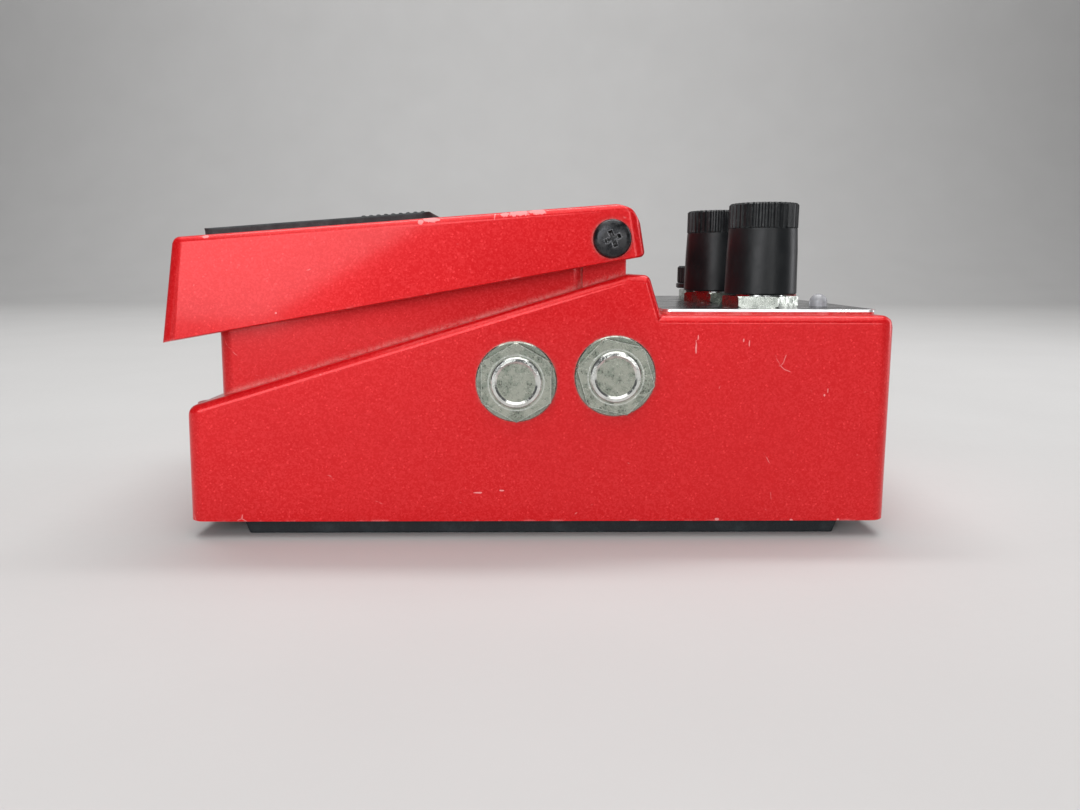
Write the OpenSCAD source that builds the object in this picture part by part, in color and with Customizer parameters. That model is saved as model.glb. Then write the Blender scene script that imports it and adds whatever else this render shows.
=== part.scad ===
// Compact guitar effects pedal, worked by a hinged treadle over a hidden foot switch.
// X runs from the treadle's toe to the rear face, Y across, Z up, in millimetres.
// The origin is on the ground, under the middle of the pedal's length and width.

/* [Overall] */
// Length from the toe of the treadle to the foot of the rear face
overall_len = 129; // [126:1:156]
// Width of the cast enclosure, without the jacks
body_w = 69; // [66:1:84]
// Height of the tall knobs above the ground
overall_h = 60; // [58:0.5:70]
// Height of the flat rear deck that carries the knobs
deck_z = 40.2; // [39.8:0.1:42]
// Wall thickness of the cast enclosure
wall = 2.5; // [2:0.1:3]
// Thickness of the rubber mat that the pedal stands on
mat_t = 3.2; // [2.6:0.1:4]

/* [Treadle and hinge] */
// Distance from the rear face forward to the hinge axis
hinge_back = 50.9; // [49:0.1:54]
// Height of the hinge axis
hinge_z = 53.2; // [52.5:0.1:55]
// Diameter of the hinge screws' shanks
hinge_screw_d = 3; // [2.5:0.1:3.6]
// Outer diameter of the nylon hinge bushes
hinge_bush_d = 5.2; // [4.6:0.1:5.6]
// Slope of the treadle's top, in degrees
treadle_slope = 4.36; // [3.5:0.01:4.8]
// Height of the lower edge of the treadle at its toe
treadle_lip_z = 35.2; // [34:0.1:37]
// Wall thickness of the cast treadle
treadle_wall = 2.4; // [2:0.1:2.5]
// How far the toe overhangs the enclosure's front face
toe_overhang = 2.6; // [2:0.1:4]
// Travel of the treadle when pressed, in degrees
press_deg = 2.6; // [1.5:0.1:2.8]

/* [Thumbscrew] */
// Height of the thumbscrew's axis
thumb_z = 43.4; // [42.5:0.1:44.5]
// Diameter of the thumbscrew's threaded stem
thumb_d = 4; // [3.4:0.1:4.8]
// Diameter of the thumbscrew's head
thumb_head_d = 10; // [8:0.5:12]
// How far the thumbscrew screws in from its backed-off place
thumb_travel = 2.2; // [1.6:0.1:2.3]

/* [Return spring and foot switch] */
// Outer diameter of the return spring
spring_d = 12.4; // [10:0.1:13]
// Wire diameter of the return spring
spring_wire = 1.3; // [1:0.1:1.6]
// Number of turns of the return spring
spring_turns = 7; // [5:0.5:8]
// Diameter of the foot switch's plunger
plunger_d = 4.8; // [4:0.1:5.6]

/* [Jacks] */
// Bore of each 6.35 mm audio jack
jack_bore_d = 6.5; // [6.4:0.05:6.8]
// Outer diameter of a jack's threaded sleeve
jack_sleeve_d = 9.2; // [8.6:0.1:10]
// How far the sleeves stand out of the enclosure's side
jack_proud = 2; // [1.8:0.1:3]
// Nut size across the flats
jack_nut_af = 12.2; // [12:0.1:14]
// Depth of a jack's bore
jack_bore_len = 21; // [16:1:22]
// Height of the front pair of jacks
jack_front_z = 28.6; // [27.5:0.1:29]
// Height of the rear pair of jacks
jack_rear_z = 29.6; // [28.5:0.1:30]

/* [Controls] */
// Diameter of the control shafts
shaft_d = 6; // [5:0.1:6.4]
// Diameter of the controls' threaded bushes
pot_bush_d = 9; // [8.2:0.1:10]
// Diameter of a tall knob at its ribbed band
knob_d = 12.5; // [11:0.1:15]
// Diameter of the lower knob of the dual control
ring_knob_d = 14.8; // [13:0.1:16]
// Diameter of the upper knob of the dual control
top_knob_d = 10.2; // [8:0.1:12]
// Number of ribs round a knob
knob_ribs = 36; // [24:1:48]
// Diameter of the indicator lamps
lamp_d = 3.3; // [3:0.1:5]

/* [Battery] */
// Thickness of the 9 V battery
battery_t = 17.5; // [16.5:0.1:17.8]
// Length of the battery's case
battery_len = 46.4; // [44:0.1:46.8]
// Height of the battery as it stands in its well
battery_h = 26.2; // [24:0.1:26.6]

/* [Hidden] */
$fn = 48;
e = 0.01;              // overlap that joins two shapes of one casting
cut = 1;               // how far a cutter passes a face
slip = 0.05;           // radial play of a part that turns or slides in another
seat = 0.1;            // gap between parts that only rest near each other
slope = tan(treadle_slope);

// cast enclosure
rear_x = overall_len / 2;
toe_x = -rear_x;
base_z = mat_t;
front_x = toe_x + toe_overhang;
hinge_x = rear_x - hinge_back;
face_y = body_w / 2;
draft_x = 0.6;
ledge_z = 23.7;
hump_x = hinge_x + 3;
hump_len = 3.6;
hump_z = hinge_z - 6;
deck_x = hinge_x + 8.8;
plan_r = 3;
edge_r = 1.8;
rear_r = 2.5;
body_outline = [
    [front_x, base_z], [front_x + draft_x, ledge_z], [hump_x, hump_z],
    [hump_x + hump_len, hump_z - seat], [deck_x, deck_z], [rear_x - draft_x, deck_z],
    [rear_x, base_z]
];
body_radii = [0, rear_r, 1.5, 1.2, 1, rear_r, 0];

// raised box under the treadle
ledge_w = 5.5;
box_w = body_w - 2 * ledge_w;
box_in_w = box_w - 2 * wall;
box_x = front_x + 5;
box_end = hinge_x - 3.4;
box_front_z = 45;
box_r = 3;
box_low_z = base_z + 6;

// bottom plate, mat and boards
rim_t = 1.4;
plate_t = 1;
plate_gap = 0.15;
plate_screw_in = 4.5;
plate_screw_d = 3;
plate_head_d = 5;
post_d = 7;
mat_w = body_w - 6;
mat_front = front_x + 8.5;
mat_rear = rear_x - 7.2;
mat_chamfer = 1.2;
sheet_t = 0.4;
board_t = 1.6;
board_z = 12;
board_w = body_w - 2 * wall - 1;
board_x = [front_x + plate_screw_in + post_d / 2 + 1, rear_x - plate_screw_in - post_d / 2 - 1];
lug = 7;
lug_h = 7;
lug_x = [board_x[0] + 5, board_x[1] - 5];
board_screw_d = 2.5;
board_head_d = 4.4;

// controls on the deck
panel_t = 0.5;
land_t = 0.5;
panel_x = [deck_x + 0.7, rear_x - 3.7];
panel_w = body_w - 4;
land_z = deck_z + land_t;
panel_z = land_z + panel_t;
under_deck = deck_z - wall;
pot_size = [16, 16, 7.4];
pot_nut_t = 2;
pot_nut_af = 12;
knob_z = panel_z + pot_nut_t + 0.3;
near_pot_at = [rear_x - 21.5, -21.5];
middle_pot_at = [rear_x - 25.1, 0];
dual_pot_at = [rear_x - 22.2, 21];
knob_rib_h = 4.6;
ring_knob_h = 5.2;
top_knob_z = knob_z + ring_knob_h + 0.2;
top_knob_h = 4.8;
inner_shaft_d = shaft_d - 2.2;
control_board_z = under_deck - pot_size[2] - board_t;
clear_lamp_at = [rear_x - 9.8, -20];
red_lamp_at = [rear_x - 9.1, 0];
lamp_dome_z = panel_z + 0.7;
power_z = 22;
power_d = 8.4;
power_bore_d = 5.6;

// jacks
jack_x = [hinge_x - 16.4, hinge_x + 0.9];
jack_z = [jack_front_z, jack_rear_z];
jack_body = [11, 20, 12];
washer_d = 14.2;
washer_t = 0.6;
jack_nut_t = 1.1;
nut_turn = [0, 17];

// treadle
treadle_w = body_w - 0.6;
treadle_in_w = treadle_w - 2 * treadle_wall;
treadle_top_z = 53.3;
treadle_heel = hinge_x + 6;
toe_lean = 3;
heel_lean = 1.6;
treadle_outline = [
    [toe_x, treadle_lip_z], [toe_x + toe_lean, treadle_top_z],
    [treadle_heel - heel_lean, top_at(treadle_heel - heel_lean)],
    [treadle_heel, hinge_z - 2.9]
];
treadle_radii = [0, 1.5, 4.5, 1];
drop = 20;
treadle_hollow = inset([
    [toe_x - drop * toe_lean / (treadle_top_z - treadle_lip_z), treadle_lip_z - drop],
    treadle_outline[1], treadle_outline[2], [treadle_heel + 2, hinge_z - 2 * drop]
], treadle_wall);
ear_r = 3.1;
ear_in = box_w / 2 - 4.5;
rear_cut = 1;
roof_at_axis = top_at(hinge_x) - treadle_wall;
pad_front = toe_x + 5.8;
pad_rear = toe_x + 46.6;
pad_band = 12.1;
pad_w = treadle_w - 14;
pad_t = 1.5;
pad_ribs = 9;

// thumbscrew, its niche and its guide
guide_x = box_x + 5.4;
niche_w = 16;
niche_wall = 2.4;
niche_x = guide_x - 6.5;
niche_cheek = 2;
recess_w = niche_w + 2 * niche_cheek + 3;
recess_z = 33;
recess_wall = 2;
thumb_head_len = 4;
thumb_head_x = niche_x - thumb_travel - thumb_head_len;
clip_t = 0.6;
clip_x = niche_x + niche_wall + seat;
clip_d = thumb_d + 3.2;
groove_d = thumb_d - 1;
tip_d = thumb_d - 0.6;
flange_t = 0.8;
tip_x = guide_x - flange_t - 0.3;
bush_wall = 1.6;
slot_drop = (hinge_x - guide_x) * sin(press_deg) + 0.3;

// return spring and foot switch
spring_at_x = guide_x + 10.3;
well_d = spring_d + 2;
well_wall = 1.4;
well_z = 24;
spring_top_z = 50.3;
peg_d = spring_d - 2 * spring_wire - 1.4;
switch_at = [spring_at_x - 0.7, 18.3];
switch_size = [12, 12, 13];
switch_top_z = 41;
bracket_z = switch_top_z - 3;
bracket_t = 1.2;
bracket_screw_x = 7.65;
bracket_screw_d = 2;
actuator_z = 49.5;
actuator_t = 1.5;
plunger_z = actuator_z - seat;
plunger_foot_z = switch_top_z - 9;
seal_z = box_top(switch_at[0]) + 0.1;

// battery
battery_x = spring_at_x + well_d / 2 + well_wall + 1.5;
battery_play = 0.5;
bay_t = battery_t + 2 * battery_play;
bay_z = 19;
bay_wall = 1.5;
foam_t = 1.4;
battery_y = -box_in_w / 2 + battery_play;
terminal_h = 2;
snap_t = 2.8;
snap_y = battery_y + battery_len + terminal_h + snap_t / 2;
lead_d = 1.3;

function top_at(x) = treadle_top_z + slope * (x - toe_x - toe_lean);
function box_top(x) = box_front_z + slope * (x - box_x);
function unit(v) = v / norm(v);
function prior(p, i) = p[(i + len(p) - 1) % len(p)];
function next(p, i) = p[(i + 1) % len(p)];

// Outline p, listed clockwise, moved in by d all round.
function inset(p, d) = [for (i = [0:len(p) - 1])
    let (u = unit(p[i] - prior(p, i)), v = unit(next(p, i) - p[i]),
         m = [u.y, -u.x], n = [v.y, -v.x])
    p[i] + d * (m + n) / (1 + m * n)];

// Outline p with corner i rounded to radius r[i].
function rounded(p, r) = [for (i = [0:len(p) - 1])
    each r[i] > 0 ? arc(p[i], unit(prior(p, i) - p[i]), unit(next(p, i) - p[i]), r[i]) : [p[i]]];
function arc(p, u, v, r, steps = 6) =
    let (half = acos(u * v) / 2, c = p + unit(u + v) * r / sin(half),
         s = p + u * r / tan(half) - c, t = p + v * r / tan(half) - c,
         turn = atan2(s.x * t.y - s.y * t.x, s * t))
    [for (k = [0:steps]) let (a = turn * k / steps)
        c + [s.x * cos(a) - s.y * sin(a), s.x * sin(a) + s.y * cos(a)]];
function box_points(x0, x1, w) = [[x0, -w / 2], [x0, w / 2], [x1, w / 2], [x1, -w / 2]];

// A side outline in X and Z, as thick as w across the pedal.
module side_slab(p, w) rotate([90, 0, 0]) linear_extrude(w, center = true) polygon(p);

// A block that is rounded in plan, from z0 up to z1.
module plan_block(x0, x1, w, r, z0, z1)
    translate([0, 0, z0]) linear_extrude(z1 - z0)
        polygon(rounded(box_points(x0, x1, w), [r, r, r, r]));

// A centred block from z0 up to z1.
module block(x0, x1, w, z0, z1) translate([x0, -w / 2, z0]) cube([x1 - x0, w, z1 - z0]);

// A cylinder along X or Y.
module rod_x(x0, x1, y, z, d) translate([x0, y, z]) rotate([0, 90, 0]) cylinder(h = x1 - x0, d = d);
module rod_y(x, y0, y1, z, d)
    translate([x, max(y0, y1), z]) rotate([90, 0, 0]) cylinder(h = abs(y1 - y0), d = d);

module both_sides() {
    children();
    mirror([0, 1, 0]) children();
}

// What rounds off both side edges of a face that runs from point a to point b, at half width y.
module edge_cutters(a, b, y, r) both_sides()
    translate([a.x, y, a.y]) rotate([0, -atan2(b.y - a.y, b.x - a.x), 0])
        rotate([90, 0, 90]) linear_extrude(norm(b - a)) difference() {
            translate([-r, -r]) square(r + cut);
            translate([-r, -r]) circle(r);
        }

// A flexible lead in the plane of one x, from a to b (each [y, z]), in a gentle S.
module lead(x, a, b, d) {
    sides = 6;
    steps = 8;
    points = [for (i = [0:steps])
        let (t = i / steps, c = [a.x + (b.x - a.x) * (1 - cos(180 * t)) / 2, a.y + (b.y - a.y) * t],
             u = unit([(b.x - a.x) * sin(180 * t) * PI / 2, b.y - a.y]))
        for (k = [0:sides - 1]) let (w = d / 2, g = 360 * k / sides)
            [x + w * cos(g), c.x + w * sin(g) * u.y, c.y - w * sin(g) * u.x]];
    polyhedron(points, tube_faces(steps, sides));
}

// The faces of a closed tube of so many steps and sides, ring after ring.
function tube_faces(steps, sides) = concat(
    [[for (k = [0:sides - 1]) k], [for (k = [sides - 1:-1:0]) steps * sides + k]],
    [for (i = [0:steps - 1], k = [0:sides - 1]) let (a = i * sides, b = (k + 1) % sides)
        each [[a + k, a + sides + b, a + b], [a + k, a + sides + k, a + sides + b]]]);

// A ribbed drum: a fine star outline, h high.
module ribbed(d, h, ribs, depth = 0.35) linear_extrude(h) polygon([for (i = [0:4 * ribs - 1])
    let (a = 90 * i / ribs, r = d / 2 - (i % 4 < 2 ? 0 : depth)) [r * cos(a), r * sin(a)]]);

module at_jacks() for (i = [0:1]) translate([jack_x[i], 0, jack_z[i]]) rotate([0, nut_turn[i], 0])
    children();

module at_plate_screws() for (x = [front_x + plate_screw_in, rear_x - plate_screw_in],
    y = [-face_y + plate_screw_in + 2, face_y - plate_screw_in - 2]) translate([x, y, 0]) children();

module at_board_screws() for (x = lug_x, y = [-1, 1])
    translate([x, y * (face_y - wall - lug / 2), 0]) children();

module at_pots() for (p = [near_pot_at, middle_pot_at, dual_pot_at]) translate(p) children();

module obround(x0, x1, z, d, fall) side_capsule(x0, x1, z, z - fall, d);
module side_capsule(x0, x1, z1, z0, d) {
    rod_x(x0, x1, 0, z1, d);
    rod_x(x0, x1, 0, z0, d);
    translate([x0, -d / 2, z0]) cube([x1 - x0, d, z1 - z0]);
}

// ---- enclosure -------------------------------------------------------------------------------

module enclosure() color("firebrick") difference() {
    union() {
        enclosure_shell();
        intersection() {
            enclosure_inside();
            enclosure_solid();
        }
        hinge_ears();
        plan_block(panel_x[0], panel_x[1], panel_w, 1.5, deck_z - e, land_z);
    }
    enclosure_openings();
}

module enclosure_solid() {
    difference() {
        intersection() {
            side_slab(rounded(body_outline, body_radii), body_w);
            plan_block(front_x, rear_x, body_w, plan_r, base_z - cut, hinge_z);
        }
        edge_cutters(body_outline[1], body_outline[2], face_y, edge_r);
        edge_cutters(body_outline[4], body_outline[5], face_y, edge_r);
    }
    intersection() {
        side_slab([[box_x - 0.4, base_z], [box_x + 0.3, box_front_z],
                   [box_end, box_top(box_end)], [box_end, base_z]], box_w);
        plan_block(box_x - 0.5, box_end, box_w, box_r, base_z, hinge_z);
    }
}

// The hollow of the enclosure: under the deck and ledges, and up inside the raised box.
module enclosure_hollow() {
    low = [for (i = [0:6]) i % 6 == 0 ? body_outline[i] - [0, wall + cut] : body_outline[i]];
    side_slab(inset(low, wall), body_w - 2 * wall);
    side_slab(inset([[box_x - 0.4, box_low_z], [box_x + 0.3, box_front_z],
                     [box_end, box_top(box_end)], [box_end, box_low_z]], wall), box_in_w);
    block(front_x + rim_t, rear_x - rim_t, body_w - 2 * rim_t, base_z - cut, base_z + plate_t);
}

module enclosure_shell() difference() {
    enclosure_solid();
    enclosure_hollow();
}

// Posts, lugs, wells and pockets that are cast inside.
module enclosure_inside() {
    at_plate_screws() translate([0, 0, base_z + plate_t]) cylinder(h = drop, d = post_d);
    for (x = lug_x) both_sides() translate([x - lug / 2, face_y - wall - lug, board_z + board_t])
        cube([lug, lug + e, lug_h]);
    translate([spring_at_x, 0, well_z - well_wall])
        cylinder(h = hinge_z - well_z, d = well_d + 2 * well_wall);
    block(battery_x - bay_wall, battery_x + bay_t + bay_wall, box_in_w + 2 * e,
        bay_z - bay_wall, hinge_z);
    block(box_x, guide_x + recess_wall, recess_w + 2 * wall, recess_z - wall, hinge_z);
    for (x = [-1, 1]) translate([switch_at.x + x * bracket_screw_x, switch_at.y, bracket_z])
        cylinder(h = drop, d = 5);
}

module hinge_ears() both_sides() translate([0, box_w / 2, 0]) rotate([90, 0, 0])
    linear_extrude(box_w / 2 - ear_in) polygon(concat(
        [[box_end - wall, hump_z - 4], [box_end - wall, hinge_z - ear_r], [hinge_x - ear_r, hinge_z]],
        [for (a = [165:-15:15]) [hinge_x + ear_r * cos(a), hinge_z + ear_r * sin(a)]],
        [[hinge_x + ear_r, hinge_z], [hinge_x + ear_r + 0.3, hump_z - 4]]));

module enclosure_openings() {
    both_sides() for (i = [0:1])
        rod_y(jack_x[i], face_y + cut, face_y - wall - 2 * cut, jack_z[i], jack_sleeve_d + 4 * slip);
    at_pots() translate([0, 0, under_deck - cut])
        cylinder(h = wall + land_t + 2 * cut, d = pot_bush_d + 4 * slip);
    for (p = [clear_lamp_at, red_lamp_at]) translate([p.x, p.y, under_deck - cut])
        cylinder(h = wall + land_t + 2 * cut, d = lamp_d + 4 * slip);
    rod_x(rear_x - wall - cut, rear_x + cut, 0, power_z, power_d + 4 * slip);
    rod_y(hinge_x, -face_y, face_y, hinge_z, hinge_screw_d + slip);
    translate([spring_at_x, 0, well_z]) cylinder(h = hinge_z - well_z, d = well_d);
    block(battery_x, battery_x + bay_t, box_in_w, bay_z, hinge_z);
    translate([battery_x + bay_t / 2, snap_y, bay_z - bay_wall - cut])
        cylinder(h = bay_wall + 2 * cut, d = 2.4 * lead_d + 2);
    translate([switch_at.x, switch_at.y, switch_top_z]) cylinder(h = drop, d = plunger_d + 2);
    for (x = [-1, 1]) translate([switch_at.x + x * bracket_screw_x, switch_at.y, bracket_z - cut])
        cylinder(h = cut + 4, d = bracket_screw_d + slip);
    block(box_x - cut, guide_x, recess_w, recess_z, hinge_z);
    obround(guide_x - cut, guide_x + recess_wall + cut, thumb_z, tip_d + 2 * bush_wall + 2 * slip,
        slot_drop);
    at_plate_screws() translate([0, 0, base_z]) cylinder(h = 8, d = plate_screw_d + slip);
    at_board_screws() translate([0, 0, board_z]) cylinder(h = 7, d = board_screw_d + slip);
}

module hinge_screws() color("#1c1c1e") both_sides() {
    shank_in = ear_in + 0.5;
    head_y = treadle_w / 2 + seat;
    rod_y(hinge_x, shank_in, head_y + e, hinge_z, hinge_screw_d);
    difference() {
        rod_y(hinge_x, head_y, head_y + 1.5, hinge_z, 6.6);
        for (a = [20, 110]) translate([hinge_x, head_y + 1.5, hinge_z]) rotate([0, a, 0])
            cube([4, 2, 0.9], center = true);
    }
}

// ---- underside and boards --------------------------------------------------------------------

module bottom_plate() color("#8d9093") difference() {
    plan_block(front_x + rim_t + plate_gap, rear_x - rim_t - plate_gap,
        body_w - 2 * rim_t - 2 * plate_gap, plan_r - rim_t, base_z, base_z + plate_t);
    at_plate_screws() translate([0, 0, base_z - cut])
        cylinder(h = 2 * cut + plate_t, d = plate_screw_d + slip);
}

module bottom_plate_screws() color("#2a2a2c") at_plate_screws() {
    translate([0, 0, base_z - e]) cylinder(h = 7, d = plate_screw_d);
    difference() {
        translate([0, 0, base_z - 1.1]) cylinder(h = 1.1, d1 = plate_head_d - 1.4, d2 = plate_head_d);
        for (a = [0, 90]) rotate([0, 0, a]) translate([-1.5, -0.4, base_z - 1.2]) cube([3, 0.8, 0.8]);
    }
}

module rubber_mat() color("#1d2221") side_slab([[mat_front + mat_chamfer, 0], [mat_front, base_z],
    [mat_rear, base_z], [mat_rear - mat_chamfer, 0]], mat_w);

module insulating_sheet() color("#c9b98f") difference() {
    plan_block(board_x[0], board_x[1], board_w, 1, base_z + plate_t, base_z + plate_t + sheet_t);
    at_plate_screws() translate([0, 0, base_z]) cylinder(h = 4, d = post_d + 1);
}

module main_board() color("#1f5c3a") difference() {
    block(board_x[0], board_x[1], board_w, board_z, board_z + board_t);
    at_board_screws() translate([0, 0, board_z - cut]) cylinder(h = 4, d = board_screw_d + 4 * slip);
}

module main_board_screws() color("silver") at_board_screws() {
    translate([0, 0, board_z - e]) cylinder(h = 6.5, d = board_screw_d);
    translate([0, 0, board_z - 1.4]) cylinder(h = 1.4, d = board_head_d);
}

// Integrated circuits, capacitors and connectors that stand on the main board.
module board_components() {
    top = board_z + board_t;
    for (x = [deck_x, deck_x + 10], y = [-22, -9, 9, 22]) color("#222222")
        translate([x - 3.2, y - 4.9, top]) cube([6.4, 9.8, 3.6]);
    for (x = [deck_x + 18, deck_x + 27], y = [-20, -12, 12, 20]) color("#23303f")
        translate([x, y, top]) cylinder(h = 9, d = 6.3);
    color("#e8e2d0") block(deck_x + 15.4, deck_x + 22.4, 12, top, top + 2.6);
}

module control_board() color("#1f5c3a")
    block(middle_pot_at.x - 10, red_lamp_at.x + 2.5, body_w - 2 * wall - 2, control_board_z,
        control_board_z + board_t);

module ribbon_cable() color("#b9bcc0") side_slab([for (k = [0:1], i = [0:8])
    let (j = k == 0 ? i : 8 - i, rise = control_board_z - (board_z + board_t + 2.6))
    [deck_x + 18.6 + 1.2 * sin(45 * j) + 0.7 * k, board_z + board_t + 2.6 + rise * j / 8]], 10);

// ---- controls on the deck --------------------------------------------------------------------

module panel_plate() color("#26282b") difference() {
    plan_block(panel_x[0], panel_x[1], panel_w, 1.5, land_z, panel_z);
    at_pots() translate([0, 0, deck_z - cut]) cylinder(h = 3, d = pot_bush_d + 4 * slip);
    for (p = [clear_lamp_at, red_lamp_at]) translate([p.x, p.y, deck_z - cut])
        cylinder(h = 3, d = lamp_d + 4 * slip);
}

// A panel control: its case under the deck and its threaded bush, bored for a shaft.
module pot(p) color("#8a8f94") translate(p) difference() {
    union() {
        translate([-pot_size.x / 2, -pot_size.y / 2, under_deck - pot_size.z]) cube(pot_size);
        translate([0, 0, under_deck - e]) cylinder(h = knob_z - seat - under_deck, d = pot_bush_d);
    }
    translate([0, 0, under_deck - 4]) cylinder(h = knob_z, d = shaft_d + 2 * slip);
}
module near_pot() pot(near_pot_at);
module middle_pot() pot(middle_pot_at);
module dual_pot() pot(dual_pot_at);

module pot_nuts() color("#a9adad") at_pots() difference() {
    translate([0, 0, panel_z]) rotate(30) cylinder(h = pot_nut_t, d = pot_nut_af / cos(30), $fn = 6);
    translate([0, 0, panel_z - cut]) cylinder(h = 4, d = pot_bush_d + 2 * slip);
}

module solid_shaft(p) color("silver") translate([p.x, p.y, under_deck - 3.8])
    cylinder(h = overall_h - 5 - under_deck, d = shaft_d);
module near_shaft() solid_shaft(near_pot_at);
module middle_shaft() solid_shaft(middle_pot_at);

module dual_outer_shaft() color("silver") translate([dual_pot_at.x, dual_pot_at.y, 0]) difference() {
    translate([0, 0, under_deck - 3.8]) cylinder(h = top_knob_z - 0.4 - under_deck + 3.8, d = shaft_d);
    translate([0, 0, under_deck - 2]) cylinder(h = drop, d = inner_shaft_d + 2 * slip);
}

module dual_inner_shaft() color("silver") translate([dual_pot_at.x, dual_pot_at.y, under_deck - 1.8])
    cylinder(h = top_knob_z + top_knob_h - 1 - under_deck + 1.8, d = inner_shaft_d);

// A tall knob: smooth, slightly tapered skirt and a ribbed band at the top.
module tall_knob(p) color("#1b1b1d") translate([p.x, p.y, 0]) difference() {
    union() {
        translate([0, 0, knob_z])
            cylinder(h = overall_h - knob_rib_h - knob_z, d1 = knob_d + 0.7, d2 = knob_d + 0.1);
        translate([0, 0, overall_h - knob_rib_h - e]) ribbed(knob_d, knob_rib_h + e, knob_ribs);
    }
    translate([0, 0, knob_z - cut]) cylinder(h = overall_h - knob_z - 0.2, d = shaft_d + slip);
    translate([0, -0.4, overall_h - 0.3]) cube([knob_d, 0.8, cut]);
}
module near_knob() tall_knob(near_pot_at);
module middle_knob() tall_knob(middle_pot_at);

module dual_ring_knob() color("#1b1b1d") translate([dual_pot_at.x, dual_pot_at.y, knob_z])
    difference() {
        union() {
            cylinder(h = 1.2, d = ring_knob_d);
            translate([0, 0, 1.2 - e]) ribbed(ring_knob_d - 0.4, ring_knob_h - 1.2 + e, knob_ribs);
        }
        translate([0, 0, -cut]) cylinder(h = ring_knob_h + 2 * cut, d = shaft_d + slip);
    }

module dual_top_knob() color("#1b1b1d") translate([dual_pot_at.x, dual_pot_at.y, top_knob_z])
    difference() {
        ribbed(top_knob_d, top_knob_h, knob_ribs);
        translate([0, 0, -cut]) cylinder(h = top_knob_h, d = inner_shaft_d + slip);
        translate([0, -0.4, top_knob_h - 0.3]) cube([top_knob_d, 0.8, cut]);
    }

module lamp(p, tint) color(tint) translate([p.x, p.y, 0]) {
    translate([0, 0, under_deck - 4]) cylinder(h = lamp_dome_z - under_deck + 4, d = lamp_d);
    translate([0, 0, lamp_dome_z]) sphere(d = lamp_d);
    for (x = [-1.27, 1.27]) translate([x / 2, 0, control_board_z + board_t])
        cylinder(h = under_deck - 4 - control_board_z - board_t + e, d = 0.6);
}
module clear_lamp() lamp(clear_lamp_at, "#e9edf0");
module red_lamp() lamp(red_lamp_at, "#c8443c");

// ---- jacks -----------------------------------------------------------------------------------

// A 6.35 mm jack: moulded case, threaded sleeve and blind bore. side is -1 or 1.
module jack(i, side) color("#2b2b2d") difference() {
    y0 = side * (face_y - wall);
    union() {
        translate([jack_x[i] - jack_body.x / 2, min(y0, y0 - side * jack_body.y),
            jack_z[i] - jack_body.z / 2]) cube(jack_body);
        rod_y(jack_x[i], y0 - side * e, side * (face_y + jack_proud), jack_z[i], jack_sleeve_d);
    }
    mouth = side * (face_y + jack_proud);
    rod_y(jack_x[i], mouth + side * cut, mouth - side * jack_bore_len, jack_z[i], jack_bore_d);
}
module input_jack_front() jack(0, -1);
module input_jack_rear() jack(1, -1);
module output_jack_front() jack(0, 1);
module output_jack_rear() jack(1, 1);

module jack_washers() color("#9a9c98") both_sides() at_jacks() difference() {
    rod_y(0, face_y, face_y + washer_t, 0, washer_d);
    rod_y(0, face_y - cut, face_y + cut, 0, jack_sleeve_d + 2 * slip);
}

module jack_nuts() color("#a6a8a2") both_sides() at_jacks() difference() {
    translate([0, face_y + washer_t + jack_nut_t, 0]) rotate([90, 0, 0])
        rotate(30) cylinder(h = jack_nut_t, d = jack_nut_af / cos(30), $fn = 6);
    rod_y(0, face_y, face_y + drop, 0, jack_sleeve_d + 2 * slip);
}

module jack_wires() color("#c23b2e") for (i = [0:1]) both_sides() {
    y = face_y - wall - jack_body.y + 3;
    for (x = [-3, 3])
        lead(jack_x[i] + x, [y, jack_z[i] - jack_body.z / 2], [y - 3, board_z + board_t], lead_d);
}

module power_jack() color("#202022") difference() {
    union() {
        block(rear_x - wall - 14, rear_x - wall - 0.5, 10, power_z - 5.5, power_z + 5.5);
        rod_x(rear_x - wall - 0.6, rear_x - 0.6, 0, power_z, power_d);
    }
    rod_x(rear_x - 11, rear_x + cut, 0, power_z, power_bore_d);
}
module power_jack_pin() color("#c9cbd0") rod_x(rear_x - 11, rear_x - 2, 0, power_z, 2.1);

// ---- return spring and foot switch -----------------------------------------------------------

// A tube swept round a helix, closed at both ends.
module coil_spring() color("#b5b8ba") {
    sides = 6;
    per_turn = 16;
    rings = spring_turns * per_turn;
    r = (spring_d - spring_wire) / 2;
    low = well_z + spring_wire / 2 + slip;
    rise = spring_top_z - seat - spring_wire - low;
    points = [for (i = [0:rings]) let (a = 360 * i / per_turn, z = low + (rise + spring_wire / 2) * i / rings)
        for (k = [0:sides - 1]) let (b = 360 * k / sides, w = spring_wire / 2)
            [(r + w * cos(b)) * cos(a), (r + w * cos(b)) * sin(a), z + w * sin(b)]];
    translate([spring_at_x, 0, 0]) polyhedron(points, tube_faces(rings, sides));
}

module foot_switch() color("#2a2c30") translate([switch_at.x, switch_at.y, 0]) difference() {
    union() {
        translate([-switch_size.x / 2, -switch_size.y / 2, switch_top_z - switch_size.z])
            cube([switch_size.x, switch_size.y, switch_size.z - switch_top_z + bracket_z]);
        translate([0, 0, bracket_z - e]) cylinder(h = switch_top_z - bracket_z, d = plunger_d + 4);
        translate([-bracket_screw_x - 1.6, -3, bracket_z - bracket_t])
            cube([2 * bracket_screw_x + 3.2, 6, bracket_t]);
    }
    translate([0, 0, plunger_foot_z - 3]) cylinder(h = drop, d = plunger_d + 2 * slip);
    for (x = [-1, 1]) translate([x * bracket_screw_x, 0, bracket_z - bracket_t - cut])
        cylinder(h = bracket_t + 2 * cut, d = bracket_screw_d + slip);
}

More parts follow.
